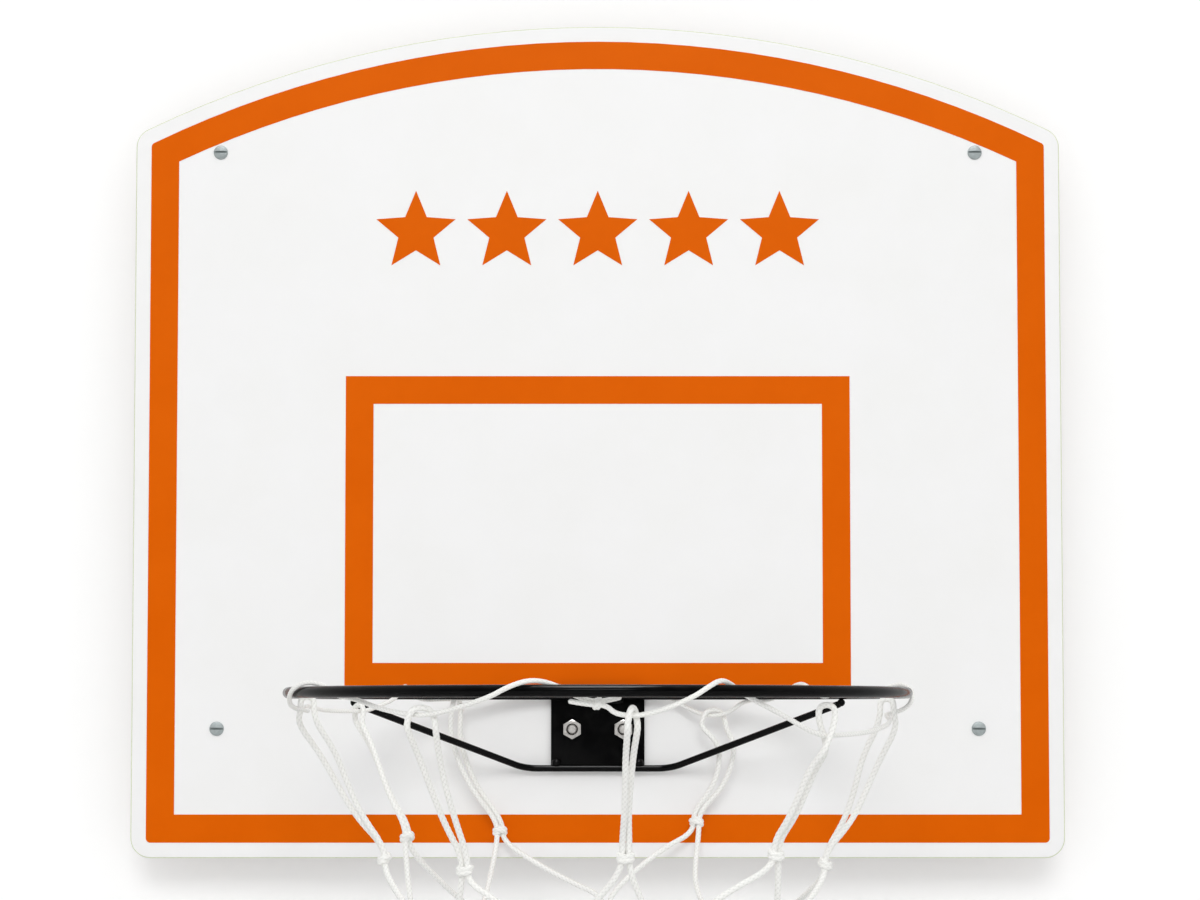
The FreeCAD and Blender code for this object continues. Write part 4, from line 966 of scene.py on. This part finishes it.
stage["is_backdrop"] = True

stage_finish = bpy.data.materials.new("white_wall")
stage_finish.use_nodes = True
tree = stage_finish.node_tree
tree.nodes.clear()
wall = add_node(tree, "ShaderNodeBsdfDiffuse", {"Color": WALL_GREY})
rays = add_node(tree, "ShaderNodeLightPath", {})
seen = reckon(tree, "MAXIMUM", rays.outputs["Is Camera Ray"], rays.outputs["Is Glossy Ray"])
seen = reckon(tree, "MAXIMUM", seen, rays.outputs["Is Transmission Ray"])
lift = reckon(tree, "MULTIPLY", seen, WALL_LIFT)
glow = add_node(tree, "ShaderNodeEmission", {"Color": (1, 1, 1, 1), "Strength": lift})
lit_wall = add_node(tree, "ShaderNodeAddShader", {0: wall.outputs[0], 1: glow.outputs[0]})
clear = add_node(tree, "ShaderNodeBsdfTransparent", {})
behind = add_node(tree, "ShaderNodeNewGeometry", {}).outputs["Backfacing"]
either = add_node(
    tree, "ShaderNodeMixShader", {0: behind, 1: lit_wall.outputs[0], 2: clear.outputs[0]}
)
add_node(tree, "ShaderNodeOutputMaterial", {"Surface": either.outputs[0]})
stage_mesh.materials.append(stage_finish)


# Light: a pale even surround with the dark room behind the camera, which shiny pieces reflect.
# A large soft lamp high in front lights the panel, and one overhead shows only in what shines.
FILL = 0.81
surround = bpy.data.worlds.new("pale_surround")
surround.use_nodes = True
tree = surround.node_tree
tree.nodes.clear()
rays = add_node(tree, "ShaderNodeLightPath", {})
heading = add_node(tree, "ShaderNodeTexCoord", {}).outputs["Generated"]
ahead = add_node(tree, "ShaderNodeSeparateXYZ", {"Vector": heading}).outputs["Y"]
room = {"Value": ahead, "From Min": -0.75, "From Max": -0.1, "To Min": 0.03, "To Max": 1.0}
room = add_node(tree, "ShaderNodeMapRange", room).outputs["Result"]
shown = reckon(tree, "MAXIMUM", rays.outputs["Is Glossy Ray"], rays.outputs["Is Transmission Ray"])
level = add_node(tree, "ShaderNodeMix", {0: shown, 2: FILL, 3: room}).outputs[0]
level = add_node(tree, "ShaderNodeMix", {0: rays.outputs["Is Camera Ray"], 2: level, 3: 1.0}).outputs[0]
sky = add_node(tree, "ShaderNodeBackground", {"Color": (1, 1, 1, 1), "Strength": level})
add_node(tree, "ShaderNodeOutputWorld", {"Surface": sky.outputs[0]})
bpy.context.scene.world = surround


def soft_lamp(name, place, aim, wide, tall, watts):
    """A rectangular lamp at place that faces aim."""
    data = bpy.data.lights.new(name, "AREA")
    data.shape = "RECTANGLE"
    data.size = wide
    data.size_y = tall
    data.energy = watts
    lamp = bpy.data.objects.new(name, data)
    lamp.location = place
    lamp.rotation_euler = (aim - lamp.location).to_track_quat("-Z", "Y").to_euler()
    bpy.context.collection.objects.link(lamp)
    return lamp


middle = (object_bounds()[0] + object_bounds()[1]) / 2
soft_lamp("high_lamp", place=(0, -6.3, 2.8), aim=middle, wide=2.6, tall=1.9, watts=128)
under = Vector((0, -0.72, 0))
gloss = soft_lamp("ceiling_lamp", place=(0, -0.72, 1.6), aim=under, wide=0.7, tall=1.3, watts=70)
gloss.visible_diffuse = False


# Camera: about level with the hoop, in front of the panel's middle, as the photograph was taken.
# It looks up a little, and its shift brings the rest of the panel into the frame.
CAMERA_PLACE = (0, -1.5337, -0.1741)
CAMERA_TILT = 2.627
view = bpy.data.cameras.new("front_view")
view.sensor_width = 36
view.lens = 71.04
view.shift_x = 0.0019
view.shift_y = 0.125
camera = bpy.data.objects.new("front_view", view)
camera.location = CAMERA_PLACE
camera.rotation_euler = (np.radians(90 + CAMERA_TILT), 0, 0)
bpy.context.collection.objects.link(camera)
scene = bpy.context.scene
scene.camera = camera
scene.view_settings.view_transform = "Standard"
